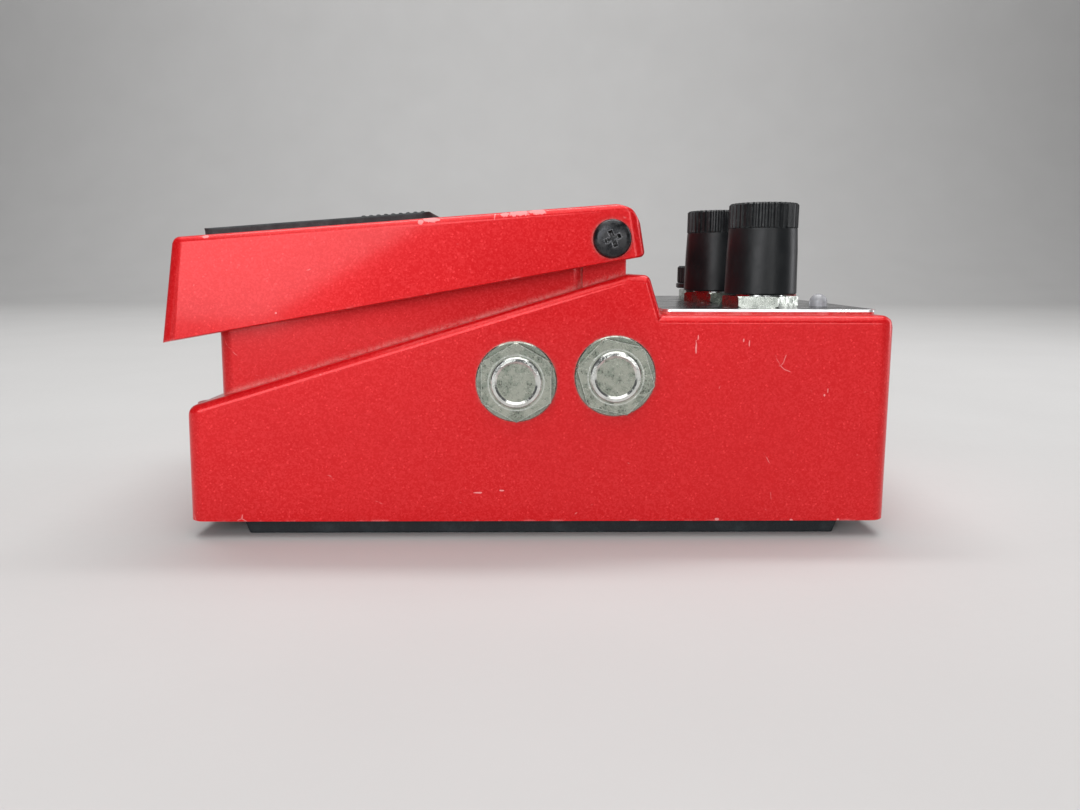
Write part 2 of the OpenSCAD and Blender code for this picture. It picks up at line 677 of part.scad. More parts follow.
module foot_switch_screws() color("silver") for (x = [-1, 1])
    translate([switch_at.x + x * bracket_screw_x, switch_at.y, bracket_z - bracket_t]) {
        translate([0, 0, -e]) cylinder(h = 4.5, d = bracket_screw_d);
        translate([0, 0, -1.2]) cylinder(h = 1.2, d = 3.2);
    }

module switch_seal() color("#161616") translate([switch_at.x, switch_at.y, seal_z])
    rotate([0, -treadle_slope, 0]) difference() {
    cylinder(h = 0.5, d = plunger_d + 4);
    translate([0, 0, -cut]) cylinder(h = 3, d = plunger_d + 4 * slip);
}

module switch_plunger() color("#d8d8d2") translate([switch_at.x, switch_at.y, 0]) intersection() {
    translate([0, 0, plunger_foot_z]) cylinder(h = plunger_z - plunger_foot_z, d = plunger_d);
    translate([0, 0, plunger_z - drop]) sphere(r = drop, $fn = 96);
}

// ---- thumbscrew guide and battery ------------------------------------------------------------

module guide_bush() color("#e4e1d6") difference() {
    union() {
        obround(guide_x - flange_t, guide_x, thumb_z, tip_d + 2 * bush_wall + 2, slot_drop);
        obround(guide_x - e, guide_x + recess_wall, thumb_z, tip_d + 2 * bush_wall, slot_drop);
    }
    obround(guide_x - 2 * cut, guide_x + 3 * cut, thumb_z, tip_d + 4 * slip, slot_drop);
}

module battery() color("#4c4f55") translate([battery_x + battery_play, battery_y, bay_z + foam_t])
    cube([battery_t, battery_len, battery_h]);

module battery_terminals() color("#cdd0d2") for (s = [-1, 1])
    translate([battery_x + bay_t / 2, battery_y + battery_len + terminal_h,
        bay_z + foam_t + battery_h / 2 + s * 6.35]) rotate([90, 0, 0])
        cylinder(h = terminal_h, d = s > 0 ? 7.6 : 5.6);

module battery_snap() color("#17171a")
    translate([battery_x + bay_t / 2 - 6.5, snap_y - snap_t / 2, bay_z + foam_t + 1])
        cube([13, snap_t, battery_h - 2]);

module battery_leads() for (s = [-1, 1]) color(s > 0 ? "#b3261e" : "#141414")
    lead(battery_x + bay_t / 2 + s * 0.7 * lead_d, [snap_y, bay_z + foam_t + 1],
        [snap_y - 0.4, board_z + board_t], lead_d);

module battery_foam() color("#3a3a3c")
    translate([battery_x + battery_play, battery_y, bay_z]) cube([battery_t, battery_len - 4, foam_t]);

// ---- treadle ---------------------------------------------------------------------------------

module hinge_bush(side) color("#ddd9cc") difference() {
    inner = side * treadle_in_w / 2;
    union() {
        rod_y(hinge_x, inner - side * 2 * seat, side * treadle_w / 2, hinge_z, hinge_bush_d);
        rod_y(hinge_x, side * (box_w / 2 + seat), inner - side * seat, hinge_z, 2 * ear_r);
    }
    rod_y(hinge_x, side * (box_w / 2 - cut), side * face_y, hinge_z, hinge_screw_d + 2 * slip);
}
module near_hinge_bush() hinge_bush(-1);
module far_hinge_bush() hinge_bush(1);

module treadle() color("firebrick") difference() {
    union() {
        difference() {
            treadle_solid();
            side_slab(treadle_hollow, treadle_in_w);
        }
        intersection() {
            treadle_solid();
            union() {
                block(toe_x, niche_x + niche_wall, niche_w + 2 * niche_cheek, treadle_lip_z + 2,
                    hinge_z + drop);
                translate([spring_at_x, 0, spring_top_z]) cylinder(h = drop, d = spring_d + 1);
                translate([switch_at.x, switch_at.y, actuator_z + actuator_t])
                    cylinder(h = drop, d = plunger_d + 5);
            }
        }
        translate([spring_at_x, 0, spring_top_z - 4]) cylinder(h = 5, d = peg_d);
    }
    block(toe_x - cut, niche_x, niche_w, treadle_lip_z - cut, hinge_z + drop);
    rod_x(niche_x - cut, niche_x + niche_wall + cut, 0, thumb_z, thumb_d + 2 * slip);
    rod_y(hinge_x, -face_y, face_y, hinge_z, hinge_bush_d + 2 * slip);
    block(hinge_x + rear_cut, treadle_heel + cut, treadle_in_w, hinge_z - drop, hinge_z - 0.7);
    both_sides() translate([hinge_x + rear_cut - seat, ear_in - 0.6, hinge_z - 2])
        cube([treadle_heel, treadle_in_w / 2 - ear_in + 0.6, 4.8]);
}

module treadle_solid() difference() {
    intersection() {
        side_slab(rounded(treadle_outline, treadle_radii), treadle_w);
        plan_block(toe_x, treadle_heel, treadle_w, plan_r, treadle_lip_z - cut, hinge_z + drop);
    }
    edge_cutters(treadle_outline[1], treadle_outline[2], treadle_w / 2, edge_r);
}

// The glued-on tread: a thin rubber sheet with a thicker ribbed band at its rear.
module treadle_pad() color("#1e2124") translate([pad_front, 0, top_at(pad_front) + slip])
    rotate([0, -treadle_slope, 0]) {
        plan_block(0, pad_rear - pad_front, pad_w, 2, 0, pad_t);
        for (i = [0:pad_ribs - 1]) translate([pad_rear - pad_front - pad_band - 0.5, 0, pad_t - e])
            plan_block(i * pad_band / pad_ribs, (i + 0.6) * pad_band / pad_ribs, pad_w - 6, 0.2, 0, 0.4);
    }

module actuator_pad() color("#1a1a1a") translate([switch_at.x, switch_at.y, actuator_z])
    cylinder(h = actuator_t, d = plunger_d + 1.6);

module thumbscrew() color("#232427") {
    translate([thumb_head_x, 0, thumb_z]) rotate([0, 90, 0]) ribbed(thumb_head_d, thumb_head_len, 24);
    rod_x(thumb_head_x + thumb_head_len - e, clip_x - slip, 0, thumb_z, thumb_d);
    rod_x(clip_x - 2 * slip, clip_x + clip_t + 2 * slip, 0, thumb_z, groove_d);
    rod_x(clip_x + clip_t + slip, tip_x, 0, thumb_z, tip_d);
}

module thumbscrew_clip() color("#9da0a3") difference() {
    rod_x(clip_x, clip_x + clip_t, 0, thumb_z, clip_d);
    rod_x(clip_x - cut, clip_x + 2 * cut, 0, thumb_z, groove_d + 2 * slip);
}

// ---- one line per piece ----------------------------------------------------------------------

enclosure();
bottom_plate();
bottom_plate_screws();
rubber_mat();
insulating_sheet();
main_board();
main_board_screws();
board_components();
control_board();
ribbon_cable();
panel_plate();
near_pot();
middle_pot();
dual_pot();
pot_nuts();
input_jack_front();
input_jack_rear();
output_jack_front();
output_jack_rear();
jack_washers();
jack_nuts();
jack_wires();
power_jack();
power_jack_pin();
clear_lamp();
red_lamp();
guide_bush();
coil_spring();
foot_switch();
foot_switch_screws();
switch_seal();
switch_plunger();
battery();
battery_terminals();
battery_snap();
battery_leads();
battery_foam();
hinge_screws();
near_hinge_bush();
far_hinge_bush();
treadle();
treadle_pad();
actuator_pad();
thumbscrew();
thumbscrew_clip();
near_shaft();
middle_shaft();
dual_outer_shaft();
dual_inner_shaft();
near_knob();
middle_knob();
dual_ring_knob();
dual_top_knob();
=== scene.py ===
import math

import bmesh
import bpy
from mathutils import Matrix, Vector


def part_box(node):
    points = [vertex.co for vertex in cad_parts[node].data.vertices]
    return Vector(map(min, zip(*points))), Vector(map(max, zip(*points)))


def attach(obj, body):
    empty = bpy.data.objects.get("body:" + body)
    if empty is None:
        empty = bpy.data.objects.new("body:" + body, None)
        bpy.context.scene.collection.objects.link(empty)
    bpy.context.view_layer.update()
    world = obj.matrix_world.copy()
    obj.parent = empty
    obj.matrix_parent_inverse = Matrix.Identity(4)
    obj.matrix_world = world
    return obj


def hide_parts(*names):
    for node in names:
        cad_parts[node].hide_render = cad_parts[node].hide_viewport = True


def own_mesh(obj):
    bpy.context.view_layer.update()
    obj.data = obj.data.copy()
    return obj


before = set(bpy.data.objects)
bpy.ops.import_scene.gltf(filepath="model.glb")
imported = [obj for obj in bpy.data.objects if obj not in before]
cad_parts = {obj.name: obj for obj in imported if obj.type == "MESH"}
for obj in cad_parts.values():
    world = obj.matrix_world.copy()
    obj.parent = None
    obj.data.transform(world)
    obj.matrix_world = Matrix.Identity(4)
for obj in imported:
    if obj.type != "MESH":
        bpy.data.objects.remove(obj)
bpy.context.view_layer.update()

mm = 0.001

# ---- Enclosure -------------------------------------------------------------------------------
# One pressure die casting in aluminium, sprayed in red metallic enamel and baked. The raised box
# under the treadle, its two hinge ears, the battery bay, spring well and screw posts are all part
# of the casting; the holes are drilled. Everything else in the pedal is screwed to it.

def alone(piece):
    if bpy.context.object and bpy.context.object.mode != "OBJECT":
        bpy.ops.object.mode_set(mode="OBJECT")
    bpy.ops.object.select_all(action="DESELECT")
    piece.select_set(True)
    bpy.context.view_layer.objects.active = piece


def named(name):
    piece = bpy.context.object
    piece.name = piece.data.name = name
    alone(piece)
    bpy.ops.object.transform_apply(location=True, rotation=True, scale=True)
    return piece


def block(name, low, high):
    bpy.ops.object.select_all(action="DESELECT")
    bpy.ops.mesh.primitive_cube_add(
        size=1, location=[(a + b) / 2 * mm for a, b in zip(low, high)],
        scale=[(b - a) * mm for a, b in zip(low, high)])
    return named(name)


def rod(name, start, end, across, sides=64):
    start, end = Vector(start) * mm, Vector(end) * mm
    bpy.ops.object.select_all(action="DESELECT")
    bpy.ops.mesh.primitive_cylinder_add(
        vertices=sides, radius=across / 2 * mm, depth=(end - start).length,
        location=(start + end) / 2, rotation=(end - start).to_track_quat("Z", "Y").to_euler())
    return named(name)


def open_up(piece, everything=False):
    alone(piece)
    bpy.ops.object.mode_set(mode="EDIT")
    bpy.ops.mesh.select_all(action="SELECT" if everything else "DESELECT")


def close():
    bpy.ops.object.mode_set(mode="OBJECT")


def pick(piece, kind, test):
    """Selects the open piece's verts, edges or faces that pass the test, and says how many."""
    bpy.ops.mesh.select_mode(type={"verts": "VERT", "edges": "EDGE", "faces": "FACE"}[kind])
    bpy.ops.mesh.select_all(action="DESELECT")
    mesh = bmesh.from_edit_mesh(piece.data)
    found = 0
    for part in getattr(mesh, kind):
        if kind == "verts":
            good = test(part.co / mm)
        elif kind == "edges":
            a, b = (v.co / mm for v in part.verts)
            good = test((a + b) / 2, (b - a).normalized())
        else:
            good = test(part.calc_center_median() / mm, part.normal)
        if good:
            part.select_set(True)
            found += 1
    mesh.select_flush_mode()
    bmesh.update_edit_mesh(piece.data)
    return found


def slab(name, outline, half):
    """A flat casting blank: the outline (x, z) stands on edge and is as thick as twice half."""
    bpy.ops.object.select_all(action="DESELECT")
    bpy.ops.mesh.primitive_circle_add(vertices=len(outline), radius=0.05, fill_type="NGON",
                                      rotation=(math.pi / 2, 0, 0))
    piece = named(name)
    for i, (x, z) in enumerate(outline):
        open_up(piece)
        mesh = bmesh.from_edit_mesh(piece.data)
        mesh.verts.ensure_lookup_table()
        corner = mesh.verts[i]
        corner.select_set(True)
        bmesh.update_edit_mesh(piece.data)
        bpy.ops.transform.translate(value=Vector((x, -half, z)) * mm - corner.co)
        close()
    open_up(piece, everything=True)
    bpy.ops.mesh.extrude_region_move(TRANSFORM_OT_translate={"value": (0, 2 * half * mm, 0)})
    bpy.ops.mesh.select_all(action="SELECT")
    bpy.ops.mesh.normals_make_consistent(inside=False)
    close()
    return piece


def finish_with(piece, kind, **settings):
    alone(piece)
    step = piece.modifiers.new(kind.title(), kind)
    for key, value in settings.items():
        setattr(step, key, value)
    bpy.ops.object.modifier_apply(modifier=step.name)
    return piece


def round_off(piece, rules, sides=6):
    """Rounds edges: each rule is a reach in mm and a test of an edge's middle and direction."""
    most = max(reach for reach, test in rules)
    open_up(piece)
    for reach, test in rules:
        if pick(piece, "edges", test):
            bpy.ops.transform.edge_bevelweight(value=-1)
            bpy.ops.transform.edge_bevelweight(value=reach / most)
    close()
    return finish_with(piece, "BEVEL", width=most * mm, segments=sides, limit_method="WEIGHT",
                       use_clamp_overlap=False, miter_outer="MITER_SHARP")


def combine(piece, operation, *tools):
    for tool in tools:
        finish_with(piece, "BOOLEAN", operation=operation, object=tool, solver="EXACT")
        bpy.data.objects.remove(tool)
    return piece


def smooth(piece, angle=32):
    alone(piece)
    bpy.ops.object.shade_smooth_by_angle(angle=math.radians(angle), keep_sharp_edges=False)
    return finish_with(piece, "WEIGHTED_NORMAL", keep_sharp=True, weight=100)


def upright(way):
    return abs(way.z) > 0.9


def across(way):
    return abs(way.y) > 0.99


toe_x, rear_x, front_x = -64.5, 64.5, -61.9
floor_z, hinge_x, hinge_z = 3.2, 13.6, 53.2
face_y = 34.5
case_outline = [(front_x, floor_z), (-61.3, 23.7), (16.6, 47.2), (20.2, 47.1), (22.4, 40.2),
                (63.9, 40.2), (rear_x, floor_z)]


def near(p, x, z, reach=0.4):
    return abs(p.x - x) < reach and abs(p.z - z) < reach


def case_top(p):
    """The long edges where each side face meets the roof of the casting."""
    return abs(abs(p.y) - face_y) < 0.1 and p.z > 23 and not near(p, -61.6, 13.4, 1.2)


case = slab("pedal_case", case_outline, face_y)
round_off(case, [
    (3.0, lambda p, way: upright(way) and abs(abs(p.y) - face_y) < 0.1 and abs(p.x) > 60),
    (1.5, lambda p, way: case_top(p) and not upright(way) and abs(way.y) < 0.1
        and not near(p, 21.3, 43.6, 0.8)),
    (1.1, lambda p, way: case_top(p) and near(p, 21.3, 43.6, 0.8)),
    (1.8, lambda p, way: across(way) and near(p, -61.3, 23.7)),
    (0.3, lambda p, way: across(way) and near(p, 16.6, 47.2)),
    (0.85, lambda p, way: across(way) and near(p, 20.2, 47.1)),
    (0.73, lambda p, way: across(way) and near(p, 22.4, 40.2)),
    (2.4, lambda p, way: across(way) and near(p, 63.9, 40.2))])


def box_top(x):
    return 45 + 0.0762 * (x + 56.9)


raised = slab("raised_box", [(-57.1, 20), (-56.6, box_top(-56.6)), (10.2, box_top(10.2)),
                             (10.2, 20)], 29)
round_off(raised, [
    (3.0, lambda p, way: upright(way)),
    (0.8, lambda p, way: p.z > 44 and not across(way)),
    (0.8, lambda p, way: p.z > 44 and across(way))])
combine(case, "UNION", raised)
for side in (-1, 1):
    ear = block("hinge_ear", (9.0, side * 26.75 - 2.25, 38), (hinge_x + 3.1, side * 26.75 + 2.25, hinge_z))
    combine(ear, "UNION", rod("ear_top", (hinge_x, side * 24.5, hinge_z), (hinge_x, side * 29, hinge_z), 6.2))
    combine(case, "UNION", ear)

under_deck = slab("under_deck", [(-59.4, 2), (-58.9, 21.8), (16.9, 44.5), (18.3, 44.5),
                                 (20.5, 37.7), (61.4, 37.7), (62.0, 2)], 32)
under_box = slab("under_box", [(-54.5, 9), (-54.5, box_top(-54.5) - 2.5), (7.7, box_top(7.7) - 2.5),
                               (7.7, 9)], 26.5)
combine(case, "DIFFERENCE", combine(under_deck, "UNION", under_box),
        block("lid_seat", (-60.5, -33.1, 2), (63.1, 33.1, 4.2)))
bay = block("battery_bay_walls", (-32.6, -27.5, 17.5), (-11.1, 27.5, 46))
recess = block("thumb_recess_walls", (-56.6, -14, 30.5), (-49.5, 14, 44.6))
well = rod("spring_well_wall", (-41.2, 0, 22.6), (-41.2, 0, 45.2), 17.2)
posts = [rod("lid_post", (x, y, 4.2), (x, y, 24 if x < 0 else 38.5), 7, 32) for x in (-57.4, 60.0) for y in (-28, 28)]
lugs = [block("board_lug", (x - 3.5, min(side * 25, side * 32.6), 13.6), (x + 3.5, max(side * 25, side * 32.6), 20.6))
        for x in (-47.9, 50.5) for side in (-1, 1)]
combine(case, "UNION", bay, recess, well, *posts, *lugs)

combine(case, "UNION", round_off(block("plate_land", (23.1, -32.5, 40.0), (60.8, 32.5, 40.7)), [(1.5, lambda p, way: upright(way))], sides=5))
holes = [rod("well_bore", (-41.2, 0, 24), (-41.2, 0, 60), 14.4),
         block("battery_bay", (-31.1, -26.5, 19), (-12.6, 26.5, 60)),
         rod("lead_hole", (-21.85, 23.8, 10), (-21.85, 23.8, 30), 4, 32),
         block("thumb_recess", (-60, -11.5, 33), (-51.5, 11.5, 60)),
         block("guide_slot", (-53, -3.35, 40.1), (-48, 3.35, 43.4)),
         rod("guide_slot_top", (-53, 0, 43.4), (-48, 0, 43.4), 6.7),
         rod("guide_slot_foot", (-53, 0, 40.1), (-48, 0, 40.1), 6.7),
         rod("switch_hole", (-41.9, 18.3, 41), (-41.9, 18.3, 60), 6.8, 48),
         rod("axle_hole", (hinge_x, -40, hinge_z), (hinge_x, 40, hinge_z), 3.1, 32),
         rod("power_hole", (60, 0, 22), (70, 0, 22), 8.8, 48)]
holes += [rod("jack_hole", (x, side * 31, z), (x, side * 40, z), 9.4, 48)
          for x, z in ((-2.8, 28.6), (14.5, 29.6)) for side in (-1, 1)]
holes += [rod("pot_hole", (x, y, 36), (x, y, 44), 9.2, 48) for x, y in ((43, -21.5), (39.4, 0), (42.3, 21))]
holes += [rod("lamp_hole", (x, y, 36), (x, y, 44), 3.5, 32) for x, y in ((54.7, -20), (55.4, 0))]
holes += [rod("post_hole", (x, y, 3), (x, y, 14), 2.6, 24) for x in (-57.4, 60.0) for y in (-28, 28)]
combine(case, "DIFFERENCE", *holes)
smooth(case)


def add(tree, kind, links=None, **settings):
    node = tree.nodes.new("ShaderNode" + kind)
    for key, value in settings.items():
        setattr(node, key, value)
    for socket, source in (links or {}).items():
        if isinstance(source, bpy.types.NodeSocket):
            tree.links.new(source, node.inputs[socket])
        else:
            node.inputs[socket].default_value = source
    return node


def effect(name, takes, gives):
    """Starts a shared shader effect and returns its tree, its inputs to use and outputs to fill."""
    tree = bpy.data.node_groups.new(name, "ShaderNodeTree")
    for label, value in takes.items():
        kind = "Vector" if value is None else "Color" if isinstance(value, tuple) else "Float"
        socket = tree.interface.new_socket(label, in_out="INPUT", socket_type="NodeSocket" + kind)
        if value is not None:
            socket.default_value = value
    for label, kind in gives.items():
        tree.interface.new_socket(label, in_out="OUTPUT", socket_type="NodeSocket" + kind)
    return tree, tree.nodes.new("NodeGroupInput").outputs, tree.nodes.new("NodeGroupOutput").inputs


def use(tree, group, links):
    node = add(tree, "Group", node_tree=group)
    for socket, source in links.items():
        if isinstance(source, bpy.types.NodeSocket):
            tree.links.new(source, node.inputs[socket])
        else:
            node.inputs[socket].default_value = source
    return node.outputs


def sums(tree, operation, a, b=0.0, clamp=False):
    return add(tree, "Math", {0: a, 1: b}, operation=operation, use_clamp=clamp).outputs[0]


def ramp(tree, value, low, high, start=0.0, end=1.0, kind="SMOOTHSTEP"):
    return add(tree, "MapRange", {"Value": value, "From Min": low, "From Max": high, "To Min": start,
                                  "To Max": end}, interpolation_type=kind).outputs[0]


def blendc(tree, share, a, b, kind="MIX"):
    node = add(tree, "Mix", data_type="RGBA", blend_type=kind)
    for socket, source in ((0, share), (6, a), (7, b)):
        if isinstance(source, bpy.types.NodeSocket):
            tree.links.new(source, node.inputs[socket])
        else:
            node.inputs[socket].default_value = source
    return node.outputs[2]


def noise(tree, place, size, detail=2.0, rough=0.5):
    """Noise whose blotches are about size mm across."""
    return add(tree, "TexNoise", {"Vector": place, "Scale": 1 / (size * mm), "Detail": detail,
                                  "Roughness": rough}).outputs["Fac"]


def surface(name, **plain):
    """Starts a material and returns it with its tree, its shader and the object coordinates."""
    material = bpy.data.materials.new(name)
    material.use_nodes = True
    tree = material.node_tree
    tree.nodes.clear()
    shader = add(tree, "BsdfPrincipled", {key.replace("_", " ").title().replace("Ior", "IOR"): value
                                          for key, value in plain.items()})
    add(tree, "OutputMaterial", {"Surface": shader.outputs[0]})
    return material, tree, shader, add(tree, "TexCoord").outputs["Object"]


def feed(tree, shader, **wires):
    for socket, source in wires.items():
        tree.links.new(source, shader.inputs[socket.replace("_", " ")])


def bump(tree, height, depth, strength=1.0):
    return add(tree, "Bump", {"Height": height, "Distance": depth * mm, "Strength": strength}).outputs[0]


def dress(piece, material, body=None, stands_for=()):
    """Gives a finished piece its material, its body and the nodes it replaces."""
    piece.data.materials.clear()
    piece.data.materials.append(material)
    if body:
        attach(piece, body)
    if stands_for:
        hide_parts(*stands_for)


# Where an edge stands out, rubbing takes the finish off it in patches. With Even above nought the mask also runs evenly
# along the whole edge: on the metal parts that even line is a painted highlight.
worn_edge, gets, puts = effect("worn_edge", {"Place": None, "Reach": 0.5, "Patch": 4.0, "Amount": 0.5, "Even": 0.0},
                               {"Mask": "Float"})
reach = sums(worn_edge, "MULTIPLY", gets["Reach"], mm)
turned_normal = add(worn_edge, "Bevel", {"Radius": reach}, samples=4).outputs[0]
straight = add(worn_edge, "NewGeometry").outputs["Normal"]
lean = add(worn_edge, "VectorMath", {0: turned_normal, 1: straight}, operation="DOT_PRODUCT").outputs["Value"]
lift = sums(worn_edge, "SUBTRACT", 1.0, lean)
patches = add(worn_edge, "TexNoise", {"Vector": gets["Place"], "Scale": sums(worn_edge, "DIVIDE", 1000.0, gets["Patch"]),
                                      "Detail": 5.0, "Roughness": 0.65}).outputs["Fac"]
bare = sums(worn_edge, "MULTIPLY", ramp(worn_edge, lift, 0.01, 0.09), sums(worn_edge, "MAXIMUM", ramp(worn_edge, patches, 0.52, 0.66), gets["Even"]))
worn_edge.links.new(sums(worn_edge, "MULTIPLY", bare, gets["Amount"], clamp=True), puts["Mask"])

# A mask of where two surfaces meet, from occlusion: dust and old polish stay there on the enamel, the panel and the
# knobs, and the metal parts go darker there.
crease_mask, gets, puts = effect("crease_mask", {"Place": None, "Reach": 2.0, "Amount": 0.5}, {"Mask": "Float"})
shade = add(crease_mask, "AmbientOcclusion", {"Distance": sums(crease_mask, "MULTIPLY", gets["Reach"], mm)},
            samples=8).outputs["AO"]
speckle = noise(crease_mask, gets["Place"], 0.7, 5.0, 0.7)
held = sums(crease_mask, "MULTIPLY", ramp(crease_mask, shade, 0.78, 0.4), ramp(crease_mask, speckle, 0.3, 0.62))
crease_mask.links.new(sums(crease_mask, "MULTIPLY", held, gets["Amount"], clamp=True), puts["Mask"])

# Short hair scratches that lie in all directions, more of them in some places than others.
scratches, gets, puts = effect("hair_scratches", {"Place": None, "Size": 9.0, "Width": 0.02}, {"Mask": "Float"})
scale = sums(scratches, "DIVIDE", 1000.0, gets["Size"])
bend_by = add(scratches, "TexNoise", {"Vector": gets["Place"], "Scale": 160.0, "Detail": 2.0}).outputs["Color"]
bent = add(scratches, "VectorMath", {0: gets["Place"], 1: add(scratches, "VectorMath", {0: bend_by, "Scale": 0.004},
           operation="SCALE").outputs[0]}, operation="ADD").outputs[0]
cells = add(scratches, "TexVoronoi", {"Vector": bent, "Scale": scale}, feature="DISTANCE_TO_EDGE").outputs["Distance"]
thin = ramp(scratches, sums(scratches, "DIVIDE", cells, gets["Width"]), 1.0, 0.3)
some = ramp(scratches, noise(scratches, gets["Place"], 6.0, 3.0, 0.7), 0.63, 0.69)
scratches.links.new(sums(scratches, "MULTIPLY", thin, some), puts["Mask"])

# Metal flake in the enamel: each flake, about a quarter of a millimetre, shows its own tint.
flake, gets, puts = effect("metal_flake", {"Place": None, "Dark": (0.5, 0, 0, 1), "Light": (1, 0.2, 0.2, 1), "Size": 0.28},
                           {"Color": "Color", "Height": "Float"})
chips = add(flake, "TexVoronoi", {"Vector": gets["Place"], "Scale": sums(flake, "DIVIDE", 1000.0, gets["Size"])})
tint = add(flake, "SeparateColor", {0: chips.outputs["Color"]}).outputs
glint = ramp(flake, tint[0], 0.2, 1.0)
rare = sums(flake, "MULTIPLY", ramp(flake, tint[1], 0.95, 1.0), 0.5)
flake.links.new(blendc(flake, sums(flake, "MAXIMUM", sums(flake, "MULTIPLY", glint, 0.22), rare), gets["Dark"], gets["Light"]), puts["Color"])
flake.links.new(tint[2], puts["Height"])


def enamel(name, chips, worn):
    """Red metallic enamel. Chips are (x, y, z, width, depth, height) of pale spots: on the case, spots rubbed down to
    the primer; on the treadle's top edge, also painted highlight patches where the edge catches the light.
    """
    material, tree, shader, place = surface(name, specular_ior_level=0.2, coat_roughness=0.08, coat_ior=1.5)
    spark = use(tree, flake, {"Place": place, "Dark": (0.64, 0.003, 0.006, 1), "Light": (0.95, 0.065, 0.07, 1)})
    cloud = ramp(tree, noise(tree, place, 30, 3), 0.35, 0.65)
    colour = blendc(tree, sums(tree, "MULTIPLY", cloud, 0.12), spark["Color"], (0.42, 0.0, 0.004, 1))
    dust = use(tree, crease_mask, {"Place": place, "Reach": 2.2, "Amount": 0.55})["Mask"]
    edge = use(tree, worn_edge, {"Place": place, "Reach": 0.6, "Patch": 5.0, "Amount": worn})["Mask"]
    hairs = use(tree, scratches, {"Place": place, "Size": 10.0, "Width": 0.012})["Mask"]
    rubbed_and_highlight = blendc(tree, sums(tree, "MULTIPLY", edge, 0.75), colour, (0.90, 0.30, 0.30, 1))
    rubbed_and_highlight = blendc(tree, dust, rubbed_and_highlight, (0.72, 0.42, 0.38, 1))
    rubbed_and_highlight = blendc(tree, sums(tree, "MULTIPLY", hairs, 0.35), rubbed_and_highlight, (0.95, 0.5, 0.5, 1))
    spots = None
    ragged = add(tree, "VectorMath", {0: add(tree, "TexNoise", {"Vector": place, "Scale": 1500.0, "Detail": 3.0}).outputs["Color"], 1: (0.5, 0.5, 0.5)},
                 operation="SUBTRACT").outputs[0]
    ragged = add(tree, "VectorMath", {0: ragged, "Scale": 1.6}, operation="SCALE").outputs[0]
    for x, y, z, wide, deep, tall in chips:
        spread = add(tree, "VectorMath", {0: place, 1: (x * mm, y * mm, z * mm)}, operation="SUBTRACT").outputs[0]
        spread = add(tree, "VectorMath", {0: spread, 1: (wide / 2 * mm, deep / 2 * mm, tall / 2 * mm)}, operation="DIVIDE").outputs[0]
        far = add(tree, "VectorMath", {0: add(tree, "VectorMath", {0: spread, 1: ragged}, operation="ADD").outputs[0]}, operation="LENGTH").outputs["Value"]
        spot = ramp(tree, far, 1.1, 0.85)
        spots = spot if spots is None else sums(tree, "MAXIMUM", spots, spot)
    # The spots' pale pink is chipped paint down to the primer and, on the treadle's top edge, a painted highlight.
    rubbed_and_highlight = blendc(tree, sums(tree, "MULTIPLY", spots, 0.75), rubbed_and_highlight, (0.88, 0.38, 0.38, 1))
    peel = noise(tree, place, 1.1, 2.0, 0.4)
    film = sums(tree, "ADD", peel, sums(tree, "MULTIPLY", spark["Height"], 0.25))
    film = sums(tree, "SUBTRACT", film, sums(tree, "MULTIPLY", sums(tree, "MAXIMUM", spots, hairs), 0.8))
    gloss = ramp(tree, noise(tree, place, 18, 4), 0.3, 0.7, 0.30, 0.40)
    gloss = sums(tree, "ADD", gloss, sums(tree, "MULTIPLY", sums(tree, "MAXIMUM", dust, spots), 0.35), clamp=True)
    coat = sums(tree, "MULTIPLY", sums(tree, "SUBTRACT", 1.0, sums(tree, "MAXIMUM", dust, spots)), 0.36, clamp=True)
    feed(tree, shader, Base_Color=rubbed_and_highlight, Roughness=gloss, Coat_Weight=coat, Normal=bump(tree, film, 0.02, 0.55))
    shader.inputs["Metallic"].default_value = 0.25
    return material


case_chips = [(28.6, -34.5, 34.7, 0.28, 1, 2.2), (28.9, -34.5, 36.4, 0.2, 1, 0.9), (36.9, -34.5, 35.9, 0.25, 1, 0.6),
              (37.9, -34.5, 35.3, 0.18, 1, 1.2), (51.6, -34.5, 26.2, 0.3, 1, 0.5), (52.2, -34.5, 27.0, 0.15, 1, 1.0),
              (33.4, -34.5, 3.5, 0.9, 1, 0.5), (47, -34.5, 3.3, 0.6, 1, 0.4), (55.5, -34.5, 3.4, 0.5, 1, 0.4),
              (-9.6, -34.5, 8.5, 1.6, 1, 0.3), (-5.4, -34.5, 8.9, 0.9, 1, 0.3)]
red_case = enamel("red_enamel_case", case_chips, 0.7)
dress(case, red_case, "case", ["enclosure"])

# ---- Treadle ---------------------------------------------------------------------------------
# A second casting in the same enamel: a long shallow hood that hinges on the two ears and carries
# the battery cover, the spring's peg and the thumbscrew's niche on its underside.

treadle_outline = [(toe_x, 35.2), (-61.5, 53.3), (18.0, 59.36), (19.6, 50.3)]
treadle_half = 34.2
tread = slab("treadle_hood", treadle_outline, treadle_half)
round_off(tread, [
    (0.3, lambda p, way: not upright(way) and not across(way) and p.z < 50 and p.x < 10 and p.x > -60),
    (2.6, lambda p, way: upright(way) and p.x < -60),
    (2.0, lambda p, way: abs(p.x - 18.8) < 0.5 and not across(way)),
    (1.3, lambda p, way: p.z > 55 and not across(way) and abs(p.x - 18.8) > 0.5),
    (1.1, lambda p, way: across(way) and near(p, -61.5, 53.3)),
    (3.9, lambda p, way: across(way) and near(p, 18.0, 59.36)),
    (0.9, lambda p, way: across(way) and near(p, 19.6, 50.3))], sides=7)
hood = slab("hood_inside", [(-64.58, 20), (-59.43, 51.05), (15.79, 56.79), (18.66, 20)], 31.8)
combine(tread, "DIFFERENCE", hood)


def tread_top(x):
    return 53.3 + (x + 61.5) * (59.36 - 53.3) / (18.0 + 61.5)


